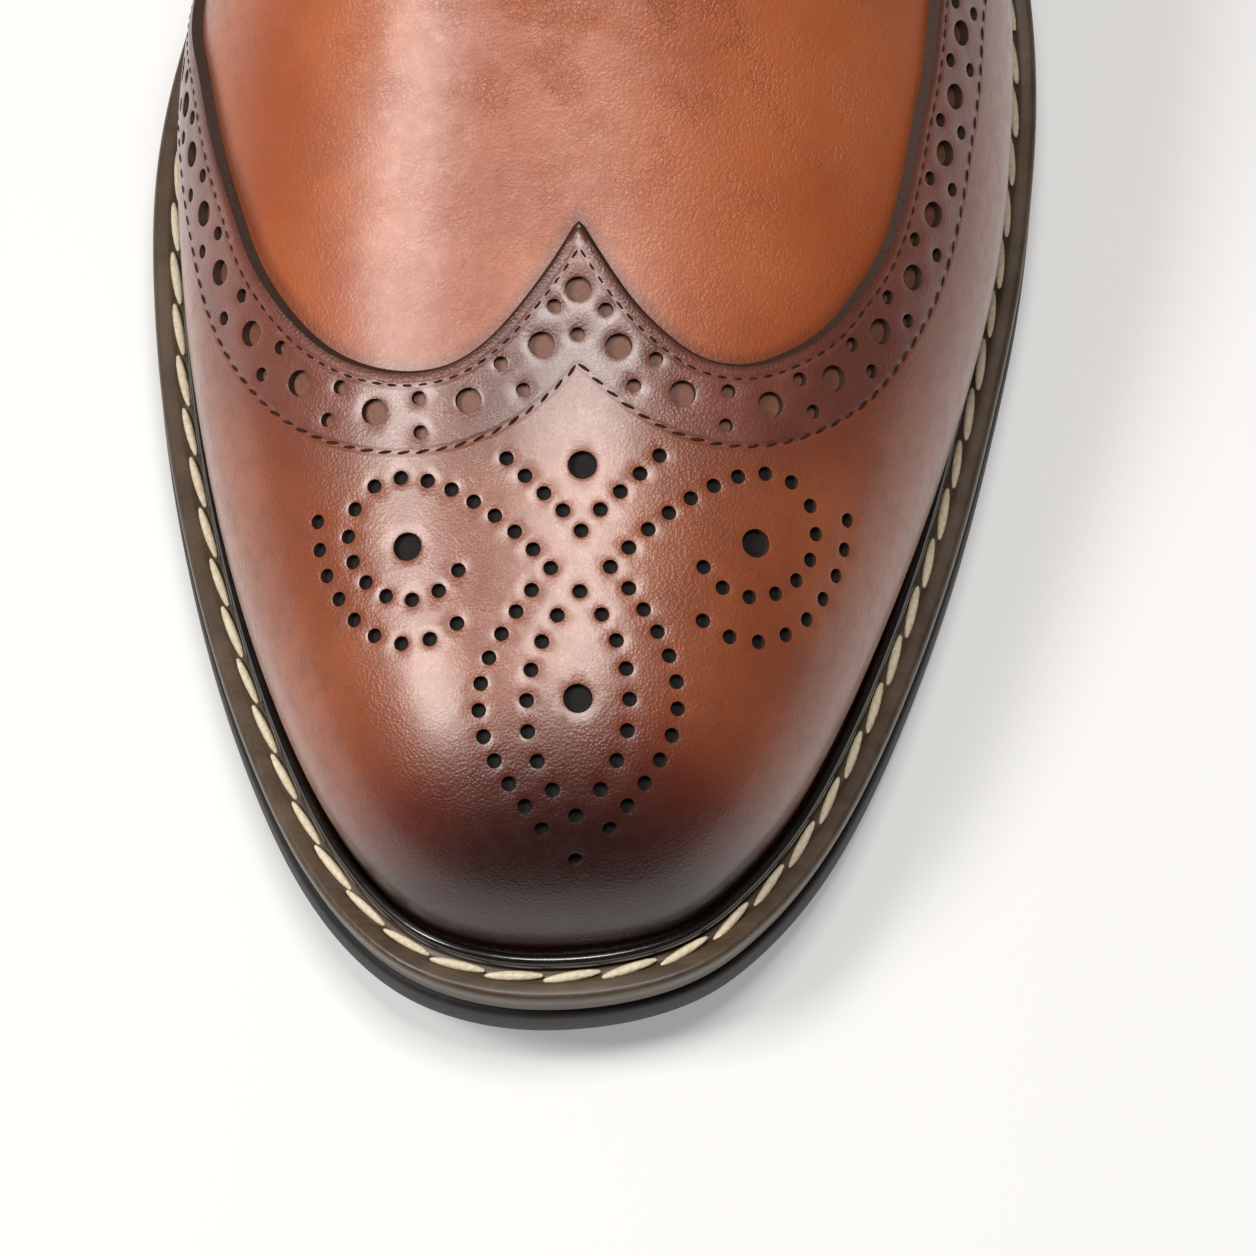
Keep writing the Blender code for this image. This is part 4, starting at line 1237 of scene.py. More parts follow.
def stitches(name, rows, length, width, height, thread, slant=0.0):
    """Stitches on points. rows: (points, directions, upward vectors) of each row."""
    points, along, up = (np.concatenate([row[k] for row in rows]) for k in range(3))
    carrier = new_mesh(name, points, [], [])
    for label, vectors in (("along", along), ("up", up)):
        layer = carrier.data.attributes.new(label, "FLOAT_VECTOR", "POINT")
        layer.data.foreach_set("vector", vectors.astype(np.float32).ravel())
    values = {"Length": length, "Width": width, "Height": height, "Slant": slant, "Thread": thread}
    return grown(carrier, STITCH_TREE, values)


def row_on(spots, pitch, out, start=0.5):
    """Points, directions and upward vectors of a row of stitches on the last."""
    spots = spaced(spots, pitch, start)
    points = at(spots, out)
    return points, directions(points), normals(spots)


def settle(thing, slot, *nodes):
    """Ties a finished piece to the frame."""
    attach(thing, "root")
    if nodes:
        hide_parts(*nodes)


# Sole


def sole_ways(start=0.0, steps=260):
    even = np.linspace(0, 1, 401)
    edge = sole_edge(1, even)
    run = run_of(edge)
    share = (even + run / run[-1]) / 2
    first = np.interp(start, even, share)
    return np.interp(np.linspace(first, 1, steps + 1), share, even)


def layer(name, profile, ways, material):
    """A layer of the sole from rows of (inset, height along the foot) up its edge."""
    points = []
    faces = []
    numbers = []
    steps = len(ways)
    for depth, height in profile:
        row = []
        for side in (-1, 1):
            plan = inset(side, ways, depth)
            z = height(plan[:, 1] / LENGTH + 0.5)
            row.append(np.arange(len(points), len(points) + steps))
            points += np.column_stack([plan, z]).tolist()
        numbers.append(row)
    for (inner_a, outer_a), (inner_b, outer_b) in zip(numbers[:-1], numbers[1:]):
        for a, b in zip(range(steps - 1), range(1, steps)):
            faces.append((inner_a[b], inner_a[a], inner_b[a], inner_b[b]))
            faces.append((outer_a[a], outer_a[b], outer_b[b], outer_b[a]))
    for row, upward in ((numbers[0], False), (numbers[-1], True)):
        for a, b in zip(range(steps - 1), range(1, steps)):
            quad = (row[0][a], row[1][a], row[1][b], row[0][b])
            faces.append(quad if upward else quad[::-1])
    if ways[0] > 0:
        faces.append(tuple([row[1][0] for row in numbers][::-1] + [row[0][0] for row in numbers]))
    thing = new_mesh(name, points, faces, [material])
    clean(thing, 1e-7, 1e-8)
    thing.data.set_sharp_from_angle(angle=radians(50))
    return thing


def rounded(low, high, depth, radius, steps=4):
    """Profile rows up an edge with rounded corners."""
    rows = []
    for k in range(steps + 1):
        angle = pi / 2 * k / steps
        rows.append((depth + radius * (1 - sin(angle)), low + radius * (1 - cos(angle))))
    for k in range(steps + 1):
        angle = pi / 2 * k / steps
        rows.append((depth + radius * (1 - cos(angle)), high - radius * (1 - sin(angle))))
    return [(inset_by, above(height)) for inset_by, height in rows]


def above(height):
    return lambda place: underside(place) + height


def level(height):
    return lambda place: np.full(len(place), height)


def make_sole():
    ways = sole_ways()
    sole_rubber = make_rubber("sole_rubber", (22, 21, 22), (35, 33, 34))
    lift_rubber = make_rubber("lift_rubber", (34, 32, 33), (48, 45, 46))
    brown_edge = make_edge_leather("brown_edge", (84, 70, 56), (112, 95, 77))
    welt_leather = make_edge_leather("welt_leather", (70, 55, 40), (92, 75, 58), 0.42, 0.2)
    stack = make_edge_leather("stack_leather", (62, 42, 32), (88, 62, 46), 0.36, 0.25, 0.0034)
    outsole = layer("outsole_rubber", rounded(0, OUTSOLE - GAP, 0, 0.0011), ways, sole_rubber)
    rows = rounded(OUTSOLE, OUTSOLE + MIDSOLE - 0.0001, EDGE_TO_MIDSOLE, 0.0006)
    midsole = layer("midsole_leather", rows, ways, brown_edge)
    low = OUTSOLE + MIDSOLE
    high = low + WELT
    rows = rounded(low, high, 0, 0.0008)
    for depth, dip in ((0.0018, 0), (0.0022, 0.00005), (0.0025, 0.0003), (0.0029, 0.00042), (0.0033, 0.0003),
                       (0.0036, 0.00005), (0.0040, 0), (0.0090, 0)):
        rows.append((depth, above(high - dip)))
    welt = layer("welt_leather", rows, ways, welt_leather)
    heel_ways = sole_ways(float(turn(BREAST)), 120)
    rows = [(EDGE_TO_HEEL, level(LIFT)), (EDGE_TO_HEEL + 0.0001, level(LIFT + 0.0002))]
    for share in (0.3, 0.6, 1.0):
        rows.append((EDGE_TO_HEEL * (1 - share) + EDGE_TO_LIFT * share, above_share(share)))
    block = layer("heel_stack", rows, heel_ways, stack)
    rows = []
    for depth, height in ((0.0006, 0), (0, 0.0006), (0, LIFT - GAP - 0.0004), (0.0003, LIFT - GAP)):
        rows.append((EDGE_TO_HEEL + depth, level(height)))
    lift = layer("heel_top_lift", rows, heel_ways, lift_rubber)
    pieces = {"outsole": outsole, "midsole": midsole, "welt": welt, "heel_block": block, "heel_lift": lift}
    for node, piece in pieces.items():
        settle(piece, node, node)
    make_rand()
    make_welt_stitches()
    make_sock()


def above_share(share):
    """Heights between the lift's top and the sole over it."""
    return lambda place: (LIFT + 0.0002) * (1 - share) + (underside(place) - GAP) * share


def make_rand():
    """The glossy bead between the welt and the leather."""
    ways = sole_ways(0, 300)
    points = []
    faces = []
    sides = 14
    loops = []
    for angle in np.linspace(0, 2 * pi, sides, endpoint=False):
        share = (1 - cos(angle)) / 2
        depth = EDGE_TO_RAND * (1 - share) + EDGE_TO_UPPER * share
        beyond = -(OVERLAY + 2 * GAP) * share
        height = STACK + GAP * 0.3 + (RAND_HEIGHT + GAP * 0.7) * (1 + sin(angle)) / 2
        ring = []
        for side in (-1, 1):
            plan = inset(side, ways, depth, beyond)
            z = underside(plan[:, 1] / LENGTH + 0.5) + height
            row = np.column_stack([plan, z])
            ring.append(row if side < 0 else row[::-1][1:-1])
        loops.append(np.arange(len(points), len(points) + sum(len(part) for part in ring)))
        points += np.concatenate(ring).tolist()
    add_hoops(faces, loops + loops[:1])
    rand = new_mesh("rand_bead", points, faces, [make_rand_leather()])
    clean(rand)
    settle(rand, "rand", "rand")


def make_welt_stitches():
    """Long slanted stitches round the welt, from the toe to the heel on both sides."""
    rows = []
    for side in (-1, 1):
        ways = sole_ways(0, 600)
        plan = inset(side, ways, WELT_ROW)
        run = run_of(plan)
        wanted = np.arange(WELT_PITCH / 2, run[-1], WELT_PITCH)
        x, y = (np.interp(wanted, run, plan[:, k]) for k in (0, 1))
        place = y / LENGTH + 0.5
        points = np.column_stack([x, y, underside(place) + STACK + 0.0001])
        fine = np.column_stack([plan, underside(plan[:, 1] / LENGTH + 0.5)])
        along = directions(fine)
        along = np.column_stack([np.interp(wanted, run, along[:, k]) for k in range(3)]) * -side
        up = np.repeat([[0.0, 0.0, 1.0]], len(points), 0)
        rows.append((points, along, up))
    thread = make_thread("welt_thread", (222, 205, 174), (240, 228, 204))
    piece = stitches("welt_stitches", rows, *WELT_STITCH, thread, radians(6))
    settle(piece, "welt")


def make_sock():
    ways = sole_ways(0, 200)
    depth = EDGE_TO_UPPER + WALL + INSOLE_CLEARANCE * 0.3
    low = STACK + GAP
    leather = make_lining_leather("sock_leather", (186, 146, 104), (150, 110, 74))
    sock = layer("insole_sock", rounded(low, low + INSOLE, depth, 0.0008), ways, leather)
    settle(sock, "insole", "insole")


# Leather


def wing_line(side):
    line = WING_LINES[side]
    return line_through(side, line["place"], line["girth"])


def hem_line(side, first, last, girth, count):
    """A line of even girth between two places, close together at the toe."""
    roots = np.linspace(sqrt(first - TIP), sqrt(last - TIP), count)
    return spots_on(side, TIP + roots**2, girth)


def smoothstep(low, high, x):
    return ease((x - low) / (high - low))


@lru_cache(maxsize=None)
def band_row(side, depth, share=1.0):
    """A row beside the wing's edge: its distance along the edge, and its spots."""
    line = wing_line(side)
    run = run_of(at(line, TOP))
    reach = depth + share * BAND_SHIFT[side] * smoothstep(0.035, 0.065, run)
    row, left = inset_rows(line, reach, np.array([side, -1.0, -0.5]))
    return run[left], row


def band_lines(depth, share=1.0):
    """A row beside the wing's edge on both sides, from the ridge down."""
    rows = [band_row(side, depth, share)[1] for side in (-1, 1)]
    ends = []
    for row in rows:
        slope = (row[0, 1] - row[6, 1]) / (row[0, 2] - row[6, 2])
        ends.append(row[0, 1] + slope * (1 - row[0, 2]))
    place = sum(ends) / 2
    return [np.concatenate([[[row[0, 0], place, 1.0]], row]) for row in rows]


def polish_and_low_darkening_of(points):
    """How dark the polish is at the toe, plus how much darker the lower sides get towards the sole, 0 to 1.
    """
    away = np.hypot((points[:, 0] + 0.003) * 0.66, points[:, 1] + 0.148)
    height = points[:, 2] - STACK - underside(points[:, 1] / LENGTH + 0.5)
    # The rim term darkens the lower sides towards the sole, up to 13 mm above the welt.
    rim = smoothstep(0.013, 0.003, height) * smoothstep(0.085, 0.02, away)
    return np.clip(smoothstep(0.034, 0.005, away) + 0.45 * rim, 0, 1)


def wing_holes():
    """(spot, radius, kind) of the holes along the wing's edge and of the pattern on the toe."""
    holes = [
        (np.array([1, PEAK_HOLE, 1.0]), LARGE_HOLE, 0),
        (np.array([1, RIDGE_HOLE, 1.0]), SMALL_HOLE, 0),
    ]
    for side in (-1, 1):
        half = HOLE_PITCH[side] / 2
        for depth, radius, first in (
            (HOLE_ROW, LARGE_HOLE, FIRST_LARGE),
            (UPPER_SMALL, SMALL_HOLE, FIRST_LARGE - half),
            (LOWER_SMALL, SMALL_HOLE, FIRST_LARGE + half),
        ):
            run, row = band_row(side, depth)
            for wanted in np.arange(first, run[-1] - HOLES_END, 2 * half):
                spot = [side, np.interp(wanted, run, row[:, 1]), np.interp(wanted, run, row[:, 2])]
                holes.append((np.array(spot), radius, 0))
    holes += pattern_holes()
    return holes


def pattern_point(across, along):
    x = PATTERN_MIDDLE[0] + across / 1000 + 0.02 * along / 1000
    return x, PATTERN_MIDDLE[1] + along / 1000 + PATTERN_SHEAR * across / 1000


def pattern_holes():
    holes = []
    for name, table in PATTERN.items():
        across = np.array(table["across"])
        along = np.array(table["along"])
        run = run_of(np.column_stack([across, along]))
        wanted = np.linspace(0, run[-1], PATTERN_COUNTS[name])
        across = smooth(run, across, wanted)
        along = smooth(run, along, wanted)
        for side in (-1, 1):
            for spot in spot_at(*pattern_point(side * across, along)):
                holes.append((spot, TOE_SMALL_HOLE, 1))
    for along in PATTERN_CENTRE_HOLES:
        holes.append((spot_at(*pattern_point(0.0, along))[0], TOE_SMALL_HOLE, 1))
    for across, along in PATTERN_LARGE:
        holes.append((spot_at(*pattern_point(across, along))[0], TOE_HOLE, 1))
    return holes


def make_wing(leather, cut_edge):
    edges = band_lines(EDGE_ROW, 0.7)
    left_edge, right_edge = (spaced(line, 0.0010, 0.5, 0.0004) for line in edges)
    left_hem, right_hem = (hem_line(line[0, 0], TIP + 1e-5, line[-1, 1], HEM, 240) for line in edges)
    peak = edges[0][:1]
    outline = np.concatenate([peak, left_edge, left_hem[::-1], right_hem[1:], right_edge[::-1]])
    fill = fill_spots(WING_FILL, TIP, 0.56, HEM)
    brown_floor = make_fibre("hole_floor", 0.55, (104, 62, 48), (140, 92, 72), depth=0.0001)
    materials = [leather, cut_edge, brown_floor, make_dark_shaded_floor()]
    holes = wing_holes()
    wing, spots = panel("wing_panel", outline, holes, flat_front, fill, TOP, BASE, materials, EDGE_ROW)
    finish_values(wing, np.concatenate([at(line, TOP) for line in edges]))
    for name, depth in (("upper_row", UPPER_ROW), ("lower_row", LOWER_ROW)):
        values = np.zeros(len(wing.data.vertices))
        values[: len(spots)] = past_row(spots, band_lines(depth))
        add_values(wing, name, values)
    settle(wing, "wingtip", "wingtip")


def past_row(spots, rows):
    """Distance beyond a row beside the wing's edge, negative on the edge's side of it."""
    line = np.concatenate([rows[0][::-1], rows[1]])
    flat = flat_front(line)
    left, right = flat[0], flat[-1]
    wide = 0.05
    top = 0.4
    right_end, left_end = right[0] + wide, left[0] - wide
    corners = [(right_end, right[1]), (right_end, top), (left_end, top), (left_end, left[1])]
    polygon = np.concatenate([flat, corners])
    sign = np.where(inside(polygon, flat_front(spots)), -1.0, 1.0)
    return sign * nearest(at(spots, TOP), at(line, TOP))


def finish_values(thing, edge_points):
    """Distance to the cut edge, and the toe's polish with the darkening towards the sole, at each point of a
    mesh.
    """
    mesh = thing.data
    points = np.empty(len(mesh.vertices) * 3, np.float32)
    mesh.vertices.foreach_get("co", points)
    points = points.reshape(-1, 3).astype(float)
    add_values(thing, "edge", nearest(points, edge_points))
    add_values(thing, "polish_and_low_darkening", polish_and_low_darkening_of(points))
    return points


def make_wing_stitches(thread):
    for name, depth, pitch, size, slant in (
        ("wing_fine_stitches", UPPER_ROW, FINE_PITCH, FINE_STITCH, 0.0),
        ("wing_coarse_stitches", LOWER_ROW, COARSE_PITCH, COARSE_STITCH, radians(10)),
    ):
        rows = [row_on(line, pitch, TOP - WING_STITCH_SINK) for line in band_lines(depth)]
        settle(stitches(name, rows, *size, thread, slant), "wingtip")


def creases(points):
    """Height of the soft troughs and ridges at points."""
    height = np.zeros(len(points))
    for y, x, half, depth, slant in CREASES:
        u = (points[:, 0] - x) / half
        v = points[:, 1] - y - slant * (points[:, 0] - x) - 0.0012 * np.sin(points[:, 0] * 230 + y * 900)
        span = np.exp(-(u**4))
        ridge = 0.6 * np.exp(-(((v - 0.0022) / 0.0016) ** 2))
        height += depth * span * (ridge - np.exp(-((v / 0.0013) ** 2)))
    return height


def make_skin(leather, lining):
    """The vamp and quarters, the folded top edge and the lining, as two pieces."""
    columns = 96
    caps = 5
    places = np.concatenate([
        TIP + (THROAT - TIP) * np.linspace(0, 1, 130) ** 1.5,
        np.linspace(THROAT, 0.575, 60)[1:],
        np.linspace(0.575, 0.66, 50)[1:],
        np.linspace(0.66, HEEL_TURN, 60)[1:],
        place_of(np.linspace(turn(HEEL_TURN), 1, 60))[1:],
    ])
    outer_points, outer_faces, inner_points, inner_faces = [], [], [], []
    split = int(np.searchsorted(places, THROAT + 1e-6)) - 1
    for side in (-1, 1):
        tops = np.array([top_girth(side, place) for place in places])
        share = np.linspace(0, 1, columns)
        place = np.repeat(places[:, None], columns, 1)
        rows = spots_on(side, place.ravel(), (tops[:, None] * share[None]).ravel())
        outer = at(rows)
        outer = outer + normals(rows) * creases(outer)[:, None]
        inner = at(rows, -LINING_DEPTH).reshape(place.shape + (3,))
        outer = outer.reshape(place.shape + (3,))
        base = len(outer_points)
        grid = np.arange(base, base + place.size).reshape(place.shape)
        outer_points += outer.reshape(-1, 3).tolist()
        add_quads(outer_faces, grid, side > 0)
        up = outer[split:, -1] - outer[split:, -3]
        up /= np.linalg.norm(up, axis=1, keepdims=True)
        middle = (outer[split:, -1] + inner[split:, -1]) / 2
        half = (outer[split:, -1] - inner[split:, -1]) / 2
        rim = [grid[split:, -1]]
        for angle in np.linspace(0, pi, caps + 2)[1:-1]:
            ring = middle + half * cos(angle) + up * sin(angle) * LINING_DEPTH * 0.4
            rim.append(np.arange(len(outer_points), len(outer_points) + len(ring)))
            outer_points += ring.tolist()
        rim.append(np.arange(len(outer_points), len(outer_points) + len(middle)))
        outer_points += inner[split:, -1].tolist()
        add_quads(outer_faces, np.stack(rim, 1), side > 0)
        base = len(inner_points)
        grid = np.arange(base, base + place.size).reshape(place.shape)
        inner_points += inner.reshape(-1, 3).tolist()
        add_quads(inner_faces, grid, side < 0)
    skin_piece = new_mesh("upper_leather", outer_points, outer_faces, [leather])
    clean(skin_piece, 2e-6, 1e-7, False)
    inner_piece = new_mesh("upper_lining", inner_points, inner_faces, [lining])
    clean(inner_piece, 2e-6, 1e-7, False)
    # Distance to the wing's edge, which the vamp's colour uses for painted shade under the wing.
    edge = np.concatenate([at(wing_line(side)) for side in (-1, 1)])
    points = finish_values(skin_piece, edge)
    flex = 0.12 + np.exp(-(((points[:, 1] + 0.038) / 0.032) ** 2)) * np.exp(-((points[:, 0] / 0.036) ** 4))
    add_values(skin_piece, "flex", flex)
    # The vamp darkens towards the sole, up to 30 mm above the welt; this goes into the darkening value.
    low = smoothstep(0.030, 0.006, points[:, 2] - (underside(points[:, 1] / LENGTH + 0.5) + STACK))
    layer_values = skin_piece.data.attributes["polish_and_low_darkening"]
    layer_values.data.foreach_set("value", (low * 0.45).astype(np.float32))
    settle(skin_piece, "upper", "upper")
    settle(inner_piece, "upper")


def facing_outline(side):
    """Closed outline of a facing: up along the throat, back along the collar and down its outer edge."""
    places = np.linspace(FACING_START, FACING_LAST, 130)
    near = spots_on(side, places, [top_girth(side, place) - FACING_BELOW for place in places])
    far = spots_on(side, places, [facing_girth(side, place) for place in places])
    crossed = near[:, 2] <= far[:, 2]
    meet = np.argmax(crossed) if crossed.any() else len(near)
    near = near[:meet]
    far = far[:meet]
    low = spots_on(side, FACING_START, np.linspace(far[0, 2], near[0, 2], 22)[1:-1])
    loop = np.concatenate([near, far[::-1], low])
    return loop, far, low


def make_facings(leather, cut_edge, thread):
    spots = eyelets()
    for side, hand in ((-1, "medial"), (1, "lateral")):
        loop, far, low = facing_outline(side)
        holes = [(np.array(spot, float), EYELET_RADIUS, 0) for spot in spots if spot[0] == side]
        fill = fill_spots(FACING_FILL, FACING_START, FACING_FILL_LAST, 0.3, (side,))
        materials = [leather, cut_edge, make_dark_shaded_floor()]
        name = "facing_" + hand
        piece, _ = panel(name + "_panel", loop, holes, flat_front, fill, TOP, BASE - TRIM_SINK, materials)
        finish_values(piece, at(np.concatenate([low, far])))
        settle(piece, "facing", name)
        edge = np.concatenate([low[::-1], far])
        rows = []
        for depth in (TRIM_ROW, 2 * TRIM_ROW):
            line = inset_line(edge, depth, at(spot_row(spots, side))[2] - at(edge)[len(edge) // 2])
            rows.append(row_on(line, FINE_PITCH, TOP - TRIM_STITCH_SINK))
        near_places = np.linspace(0.41, 0.575, 60)
        near = spots_on(side, near_places, [top_girth(side, place) - 0.004 for place in near_places])
        line = inset_line(near, 0.0016, at(spot_row(spots, side))[2] - at(near)[30])
        rows.append(row_on(line, FINE_PITCH, TOP - TRIM_STITCH_SINK))
        settle(stitches(name + "_stitches", rows, *TRIM_STITCH, thread), "facing")


def spot_row(spots, side):
    return np.array([spot for spot in spots if spot[0] == side], float)


def counter_line(side, count=120):
    places = place_of(np.linspace(turn(COUNTER_EDGE["place"][0]), 1, count))
    return spots_on(side, places, held(*COUNTER_EDGE.values(), places))


def make_counter(leather, cut_edge, thread):
    medial = counter_line(-1)
    lateral = counter_line(1)
    fronts, hems = [], []
    for side, place, top in (medial[0], lateral[0]):
        fronts.append(spots_on(side, place, np.linspace(HEM, top, 9)[:-1]))
        hems.append(spots_on(side, place_of(np.linspace(turn(place), 1, 130)), HEM))
    border = [fronts[0], medial, lateral[::-1], fronts[1][::-1]]
    outline = np.concatenate([fronts[0], medial[:-1], *border[2:], hems[1][1:], hems[0][::-1][1:-1]])
    fill = []
    for side in (-1, 1):
        for k, way in enumerate(np.linspace(turn(0.75), 1, 90)):
            fill.append(spots_on(side, place_of(way), np.linspace(HEM, 0.52, 34) + (k % 2) * 0.006))
    fill = np.concatenate(fill)
    fill = fill[(fill[:, 1] < 0.9995) | (fill[:, 0] > 0)]
    materials = [leather, cut_edge]
    piece, _ = panel("counter_panel", outline, [], flat_back, fill, TOP, BASE - TRIM_SINK, materials)
    finish_values(piece, at(np.concatenate(border)))
    settle(piece, "heel_counter", "heel_counter")
    rows = []
    for line in (medial, lateral):
        for depth in (TRIM_ROW, 2 * TRIM_ROW):
            moved = inset_line(line[:-1], depth, np.array([0.0, 0.3, -1.0]))
            rows.append(row_on(moved, FINE_PITCH, TOP - TRIM_STITCH_SINK))
    settle(stitches("counter_stitches", rows, *TRIM_STITCH, thread), "heel_counter")


def make_collar_stitches(thread):
    rows = []
    for side in (-1, 1):
        behind = place_of(np.linspace(turn(HEEL_TURN), 1, 60))[1:-1]
        places = np.concatenate([np.linspace(0.60, HEEL_TURN, 160), behind])
        line = spots_on(side, places, [top_girth(side, place) for place in places])
        moved = inset_line(line, COLLAR_ROW, np.array([0.0, 0.0, -1.0]))
        rows.append(row_on(moved, FINE_PITCH, 0.0))
    settle(stitches("collar_stitches", rows, *TRIM_STITCH, thread), "upper")


def make_tongue(leather):
    """A sheet with rounded edges that follows the ridge under the facings."""
    top = -WALL - TONGUE_GAP
    columns = 41
    rows = 90
    grids = []
    for out in (top, top - TONGUE):
        points = []
        for place in np.linspace(TONGUE_ROOT, TONGUE_TOP, rows):
            share = (place - TONGUE_ROOT) / (TONGUE_TOP - TONGUE_ROOT)
            half = TONGUE_ROOT_HALF + (TONGUE_TOP_HALF - TONGUE_ROOT_HALF) * ease(share / 0.8)
            corner = np.clip((place - TONGUE_TOP + 0.018) / 0.018, 0, 1)
            half *= sqrt(max(1 - 0.55 * corner**3, 0))
            spread = np.linspace(-1, 1, columns)
            for side, part in ((-1, spread[spread < 0]), (1, spread[spread >= 0])):
                girths = girths_at(side, place, half * abs(part))
                points += [(side, place, girth) for girth in girths]
        points = np.array(points, float)
        rim = np.ones((rows, columns))
        rim[:, 0] = rim[:, -1] = rim[0] = rim[-1] = 0
        pull = (1 - rim.ravel()) * TONGUE * 0.3
        grids.append(at(points, out + (-pull if out == top else pull)))
    points = np.concatenate(grids).tolist()
    faces = []
    upper_grid = np.arange(rows * columns).reshape(rows, columns)
    under_grid = upper_grid + rows * columns
    add_quads(faces, upper_grid, False)
    add_quads(faces, under_grid, True)
    for a, b in ((upper_grid[0], under_grid[0]), (under_grid[-1], upper_grid[-1]),
                 (under_grid[:, 0], upper_grid[:, 0]), (upper_grid[:, -1], under_grid[:, -1])):
        add_quads(faces, np.stack([a, b]), False)
    tongue = new_mesh("tongue_leather", points, faces, [leather])
    clean(tongue)
    face = grids[0].reshape(rows, columns, 3)
    finish_values(tongue, np.concatenate([face[:, 0], face[:, -1], face[-1]]))
    settle(tongue, "tongue", "tongue")


def lace_path(first, second):
    """From under one eyelet, up through it, over the facings and the tongue, and down the other."""
    rest = TOP + LACE_RADIUS + 0.0002
    first, second = np.array(first, float), np.array(second, float)
    points = [at(first[None], -WALL * 0.8)[0], at(first[None], TOP * 0.7)[0]]
    reach = [side * eyelet_reach(place) for side, place, _ in (first, second)]
    for share in np.linspace(0.10, 0.90, 9):
        place = first[1] + (second[1] - first[1]) * share
        across = reach[0] + (reach[1] - reach[0]) * share
        side = -1 if across < 0 else 1
        spot = spots_on(side, [place], girth_at_distance(side, place, abs(across)))
        points.append(at(spot, rest)[0])
    points += [at(second[None], TOP * 0.7)[0], at(second[None], -WALL * 0.8)[0]]
    return np.array(points)


def tube(points, radius, sides=12, step=0.0007):
    """Points, faces and the run and turn of each point of a round tube."""
    run = run_of(points)
    fine = np.arange(0, run[-1], step)
    centre = np.column_stack([smooth(run, points[:, k], fine) for k in range(3)])
    along = directions(centre)
    side_axis = np.cross(along[0], [0.0, 0.3, 1.0])
    rings = []
    turns = []
    runs = []
    for point, way, far in zip(centre, along, fine):
        side_axis = side_axis - way * (side_axis @ way)
        side_axis = side_axis / np.linalg.norm(side_axis)
        other = np.cross(way, side_axis)
        for k in range(sides):
            angle = 2 * pi * k / sides
            rings.append(point + radius * (cos(angle) * side_axis + sin(angle) * other))
            turns.append(angle)
            runs.append(far)
    count = len(centre)
    grid = np.arange(count * sides).reshape(count, sides)
    faces = []
    add_hoops(faces, grid)
    faces.append(tuple(grid[0][::-1]))
    faces.append(tuple(grid[-1]))
    return rings, faces, runs, turns


def make_lace():
    spots = eyelets()
    pairs = [(0, 1)]
    for row in range(EYELET_PAIRS - 1):
        pairs += [(2 * row, 2 * row + 3), (2 * row + 1, 2 * row + 2)]
    points, faces, runs, turns = [], [], [], []
    for start, end in pairs:
        lift = 2.1 * LACE_RADIUS * (spots[start][0] > 0 and start != end - 1)
        path = lace_path(spots[start], spots[end])
        hump = np.sin(np.linspace(0, pi, len(path)))[:, None] ** 4 * lift
        middle = spots[start][1] / 2 + spots[end][1] / 2
        up = normals(np.array([(1, middle, 1.0)]))[0]
        made, quads, run, angle = tube(path + hump * up, LACE_RADIUS)
        base = len(points)
        points += [list(p) for p in made]
        faces += [tuple(base + i for i in quad) for quad in quads]
        runs += run
        turns += angle
    lace = new_mesh("lace_cord", points, faces, [make_braid()])
    add_values(lace, "along", runs)
    add_values(lace, "turn", turns)
    clean(lace)
    settle(lace, "lace", "lace")


# Picture


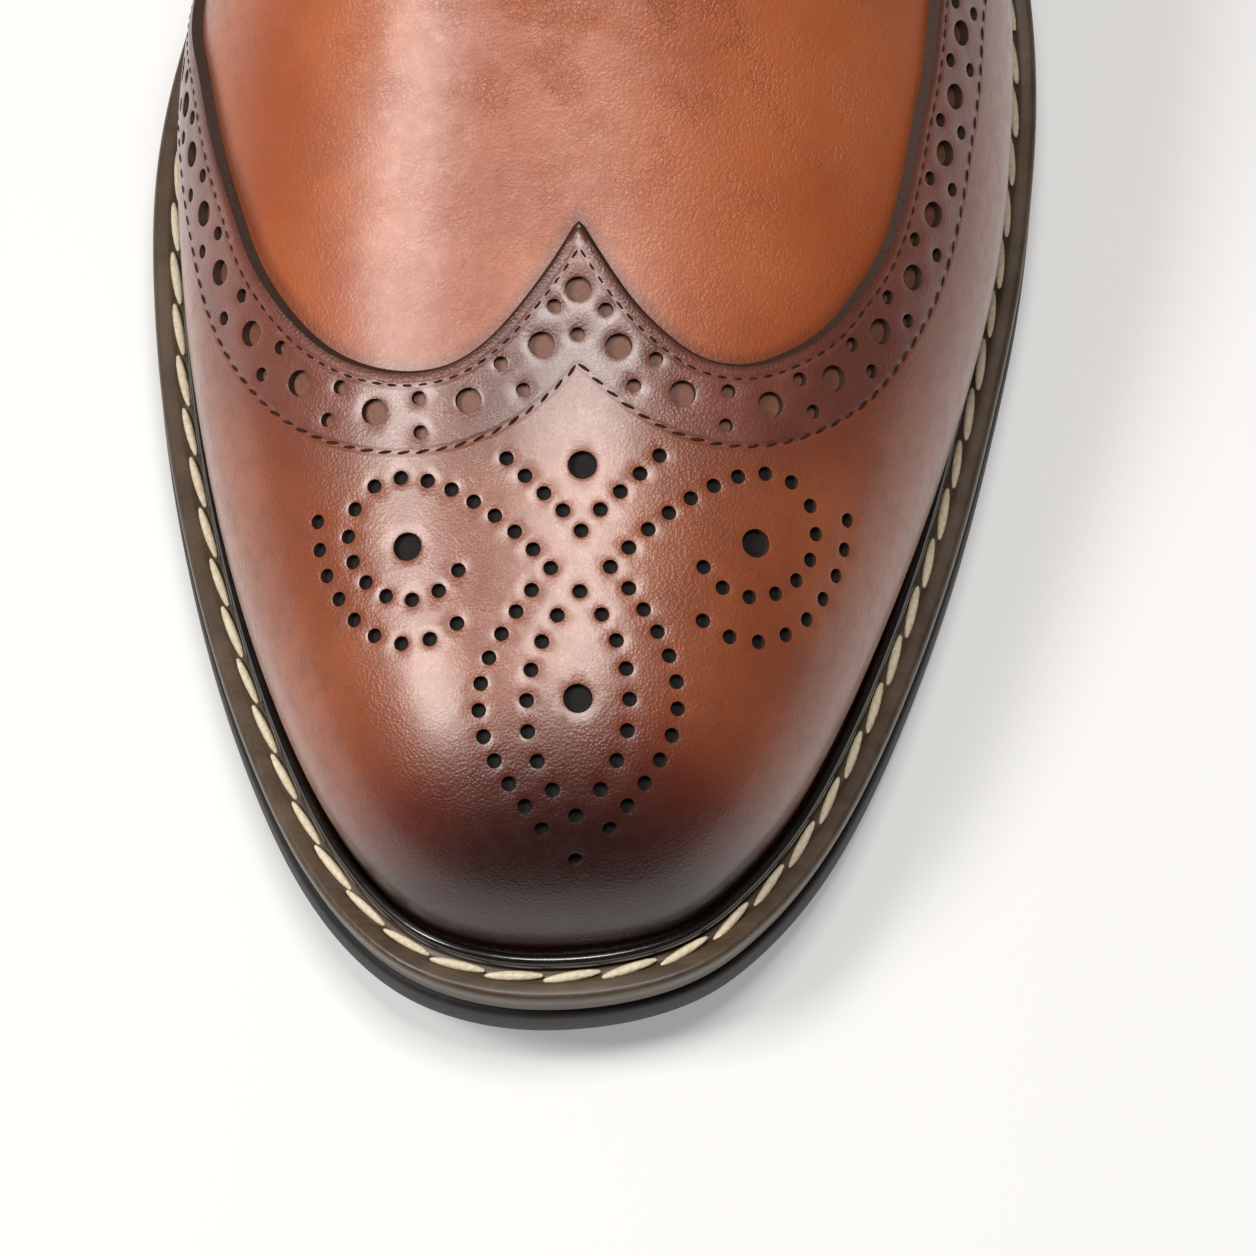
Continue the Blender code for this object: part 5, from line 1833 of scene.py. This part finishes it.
def make_camera():
    data = bpy.data.cameras.new("camera")
    camera = bpy.data.objects.new("camera", data)
    bpy.context.scene.collection.objects.link(camera)
    tilt = radians(ELEVATION)
    camera.location = Vector(TARGET) + Vector((0, -cos(tilt), sin(tilt))) * DISTANCE
    camera.rotation_euler = (pi / 2 - tilt, 0, 0)
    data.sensor_width = SENSOR
    data.lens = SENSOR * FOCAL_PIXELS / IMAGE
    data.clip_end = 20
    bpy.context.scene.camera = camera


def make_light(name, place, aim, width, power):
    data = bpy.data.lights.new(name, "AREA")
    data.shape = "RECTANGLE"
    data.size = width
    data.size_y = width
    data.energy = power
    data.color = LAMP_TINT
    light = bpy.data.objects.new(name, data)
    bpy.context.scene.collection.objects.link(light)
    light.location = place
    light.rotation_euler = (aim - place).to_track_quat("-Z", "Y").to_euler()


def clear_startup():
    """The camera, lamp and cube of a new file, where the script starts from one."""
    for name in ("Cube", "Light", "Camera"):
        thing = bpy.data.objects.get(name)
        if thing:
            bpy.data.objects.remove(thing, do_unlink=True)


def make_studio():
    corners = [(-FLOOR, -FLOOR, 0), (FLOOR, -FLOOR, 0), (FLOOR, FLOOR, 0), (-FLOOR, FLOOR, 0)]
    floor = new_mesh("floor", corners, [(0, 1, 2, 3)], [make_floor_paint()])
    world = bpy.data.worlds.new("studio")
    world.use_nodes = True
    background = world.node_tree.nodes["Background"]
    background.inputs["Color"].default_value = (1, 1, 1, 1)
    background.inputs["Strength"].default_value = WORLD_STRENGTH
    bpy.context.scene.world = world
    bpy.context.scene.view_settings.view_transform = "Standard"
    for name, (place, width, power) in LAMPS.items():
        make_light(name, Vector(AIM) + Vector(place), Vector(AIM), width, power)


def main():
    clear_startup()
    make_camera()
    make_studio()
    make_sole()
    wing_leather = make_wing_leather()
    dark_leather = make_dark_leather("trim_leather")
    cut_edge = make_fibre("cut_edge", 0.75, (36, 20, 14), (70, 46, 35), 1800.0, depth=0.00015)
    thread = make_thread("dark_thread", (36, 12, 7), (74, 32, 21), 0.8)
    make_wing(wing_leather, cut_edge)
    make_wing_stitches(thread)
    make_skin(make_vamp_leather(), make_lining_leather())
    make_facings(dark_leather, cut_edge, thread)
    make_counter(dark_leather, cut_edge, thread)
    make_collar_stitches(thread)
    make_tongue(make_dark_leather("tongue_grain", 0.9))
    make_lace()


STITCH_TREE = make_stitch_tree()
main()
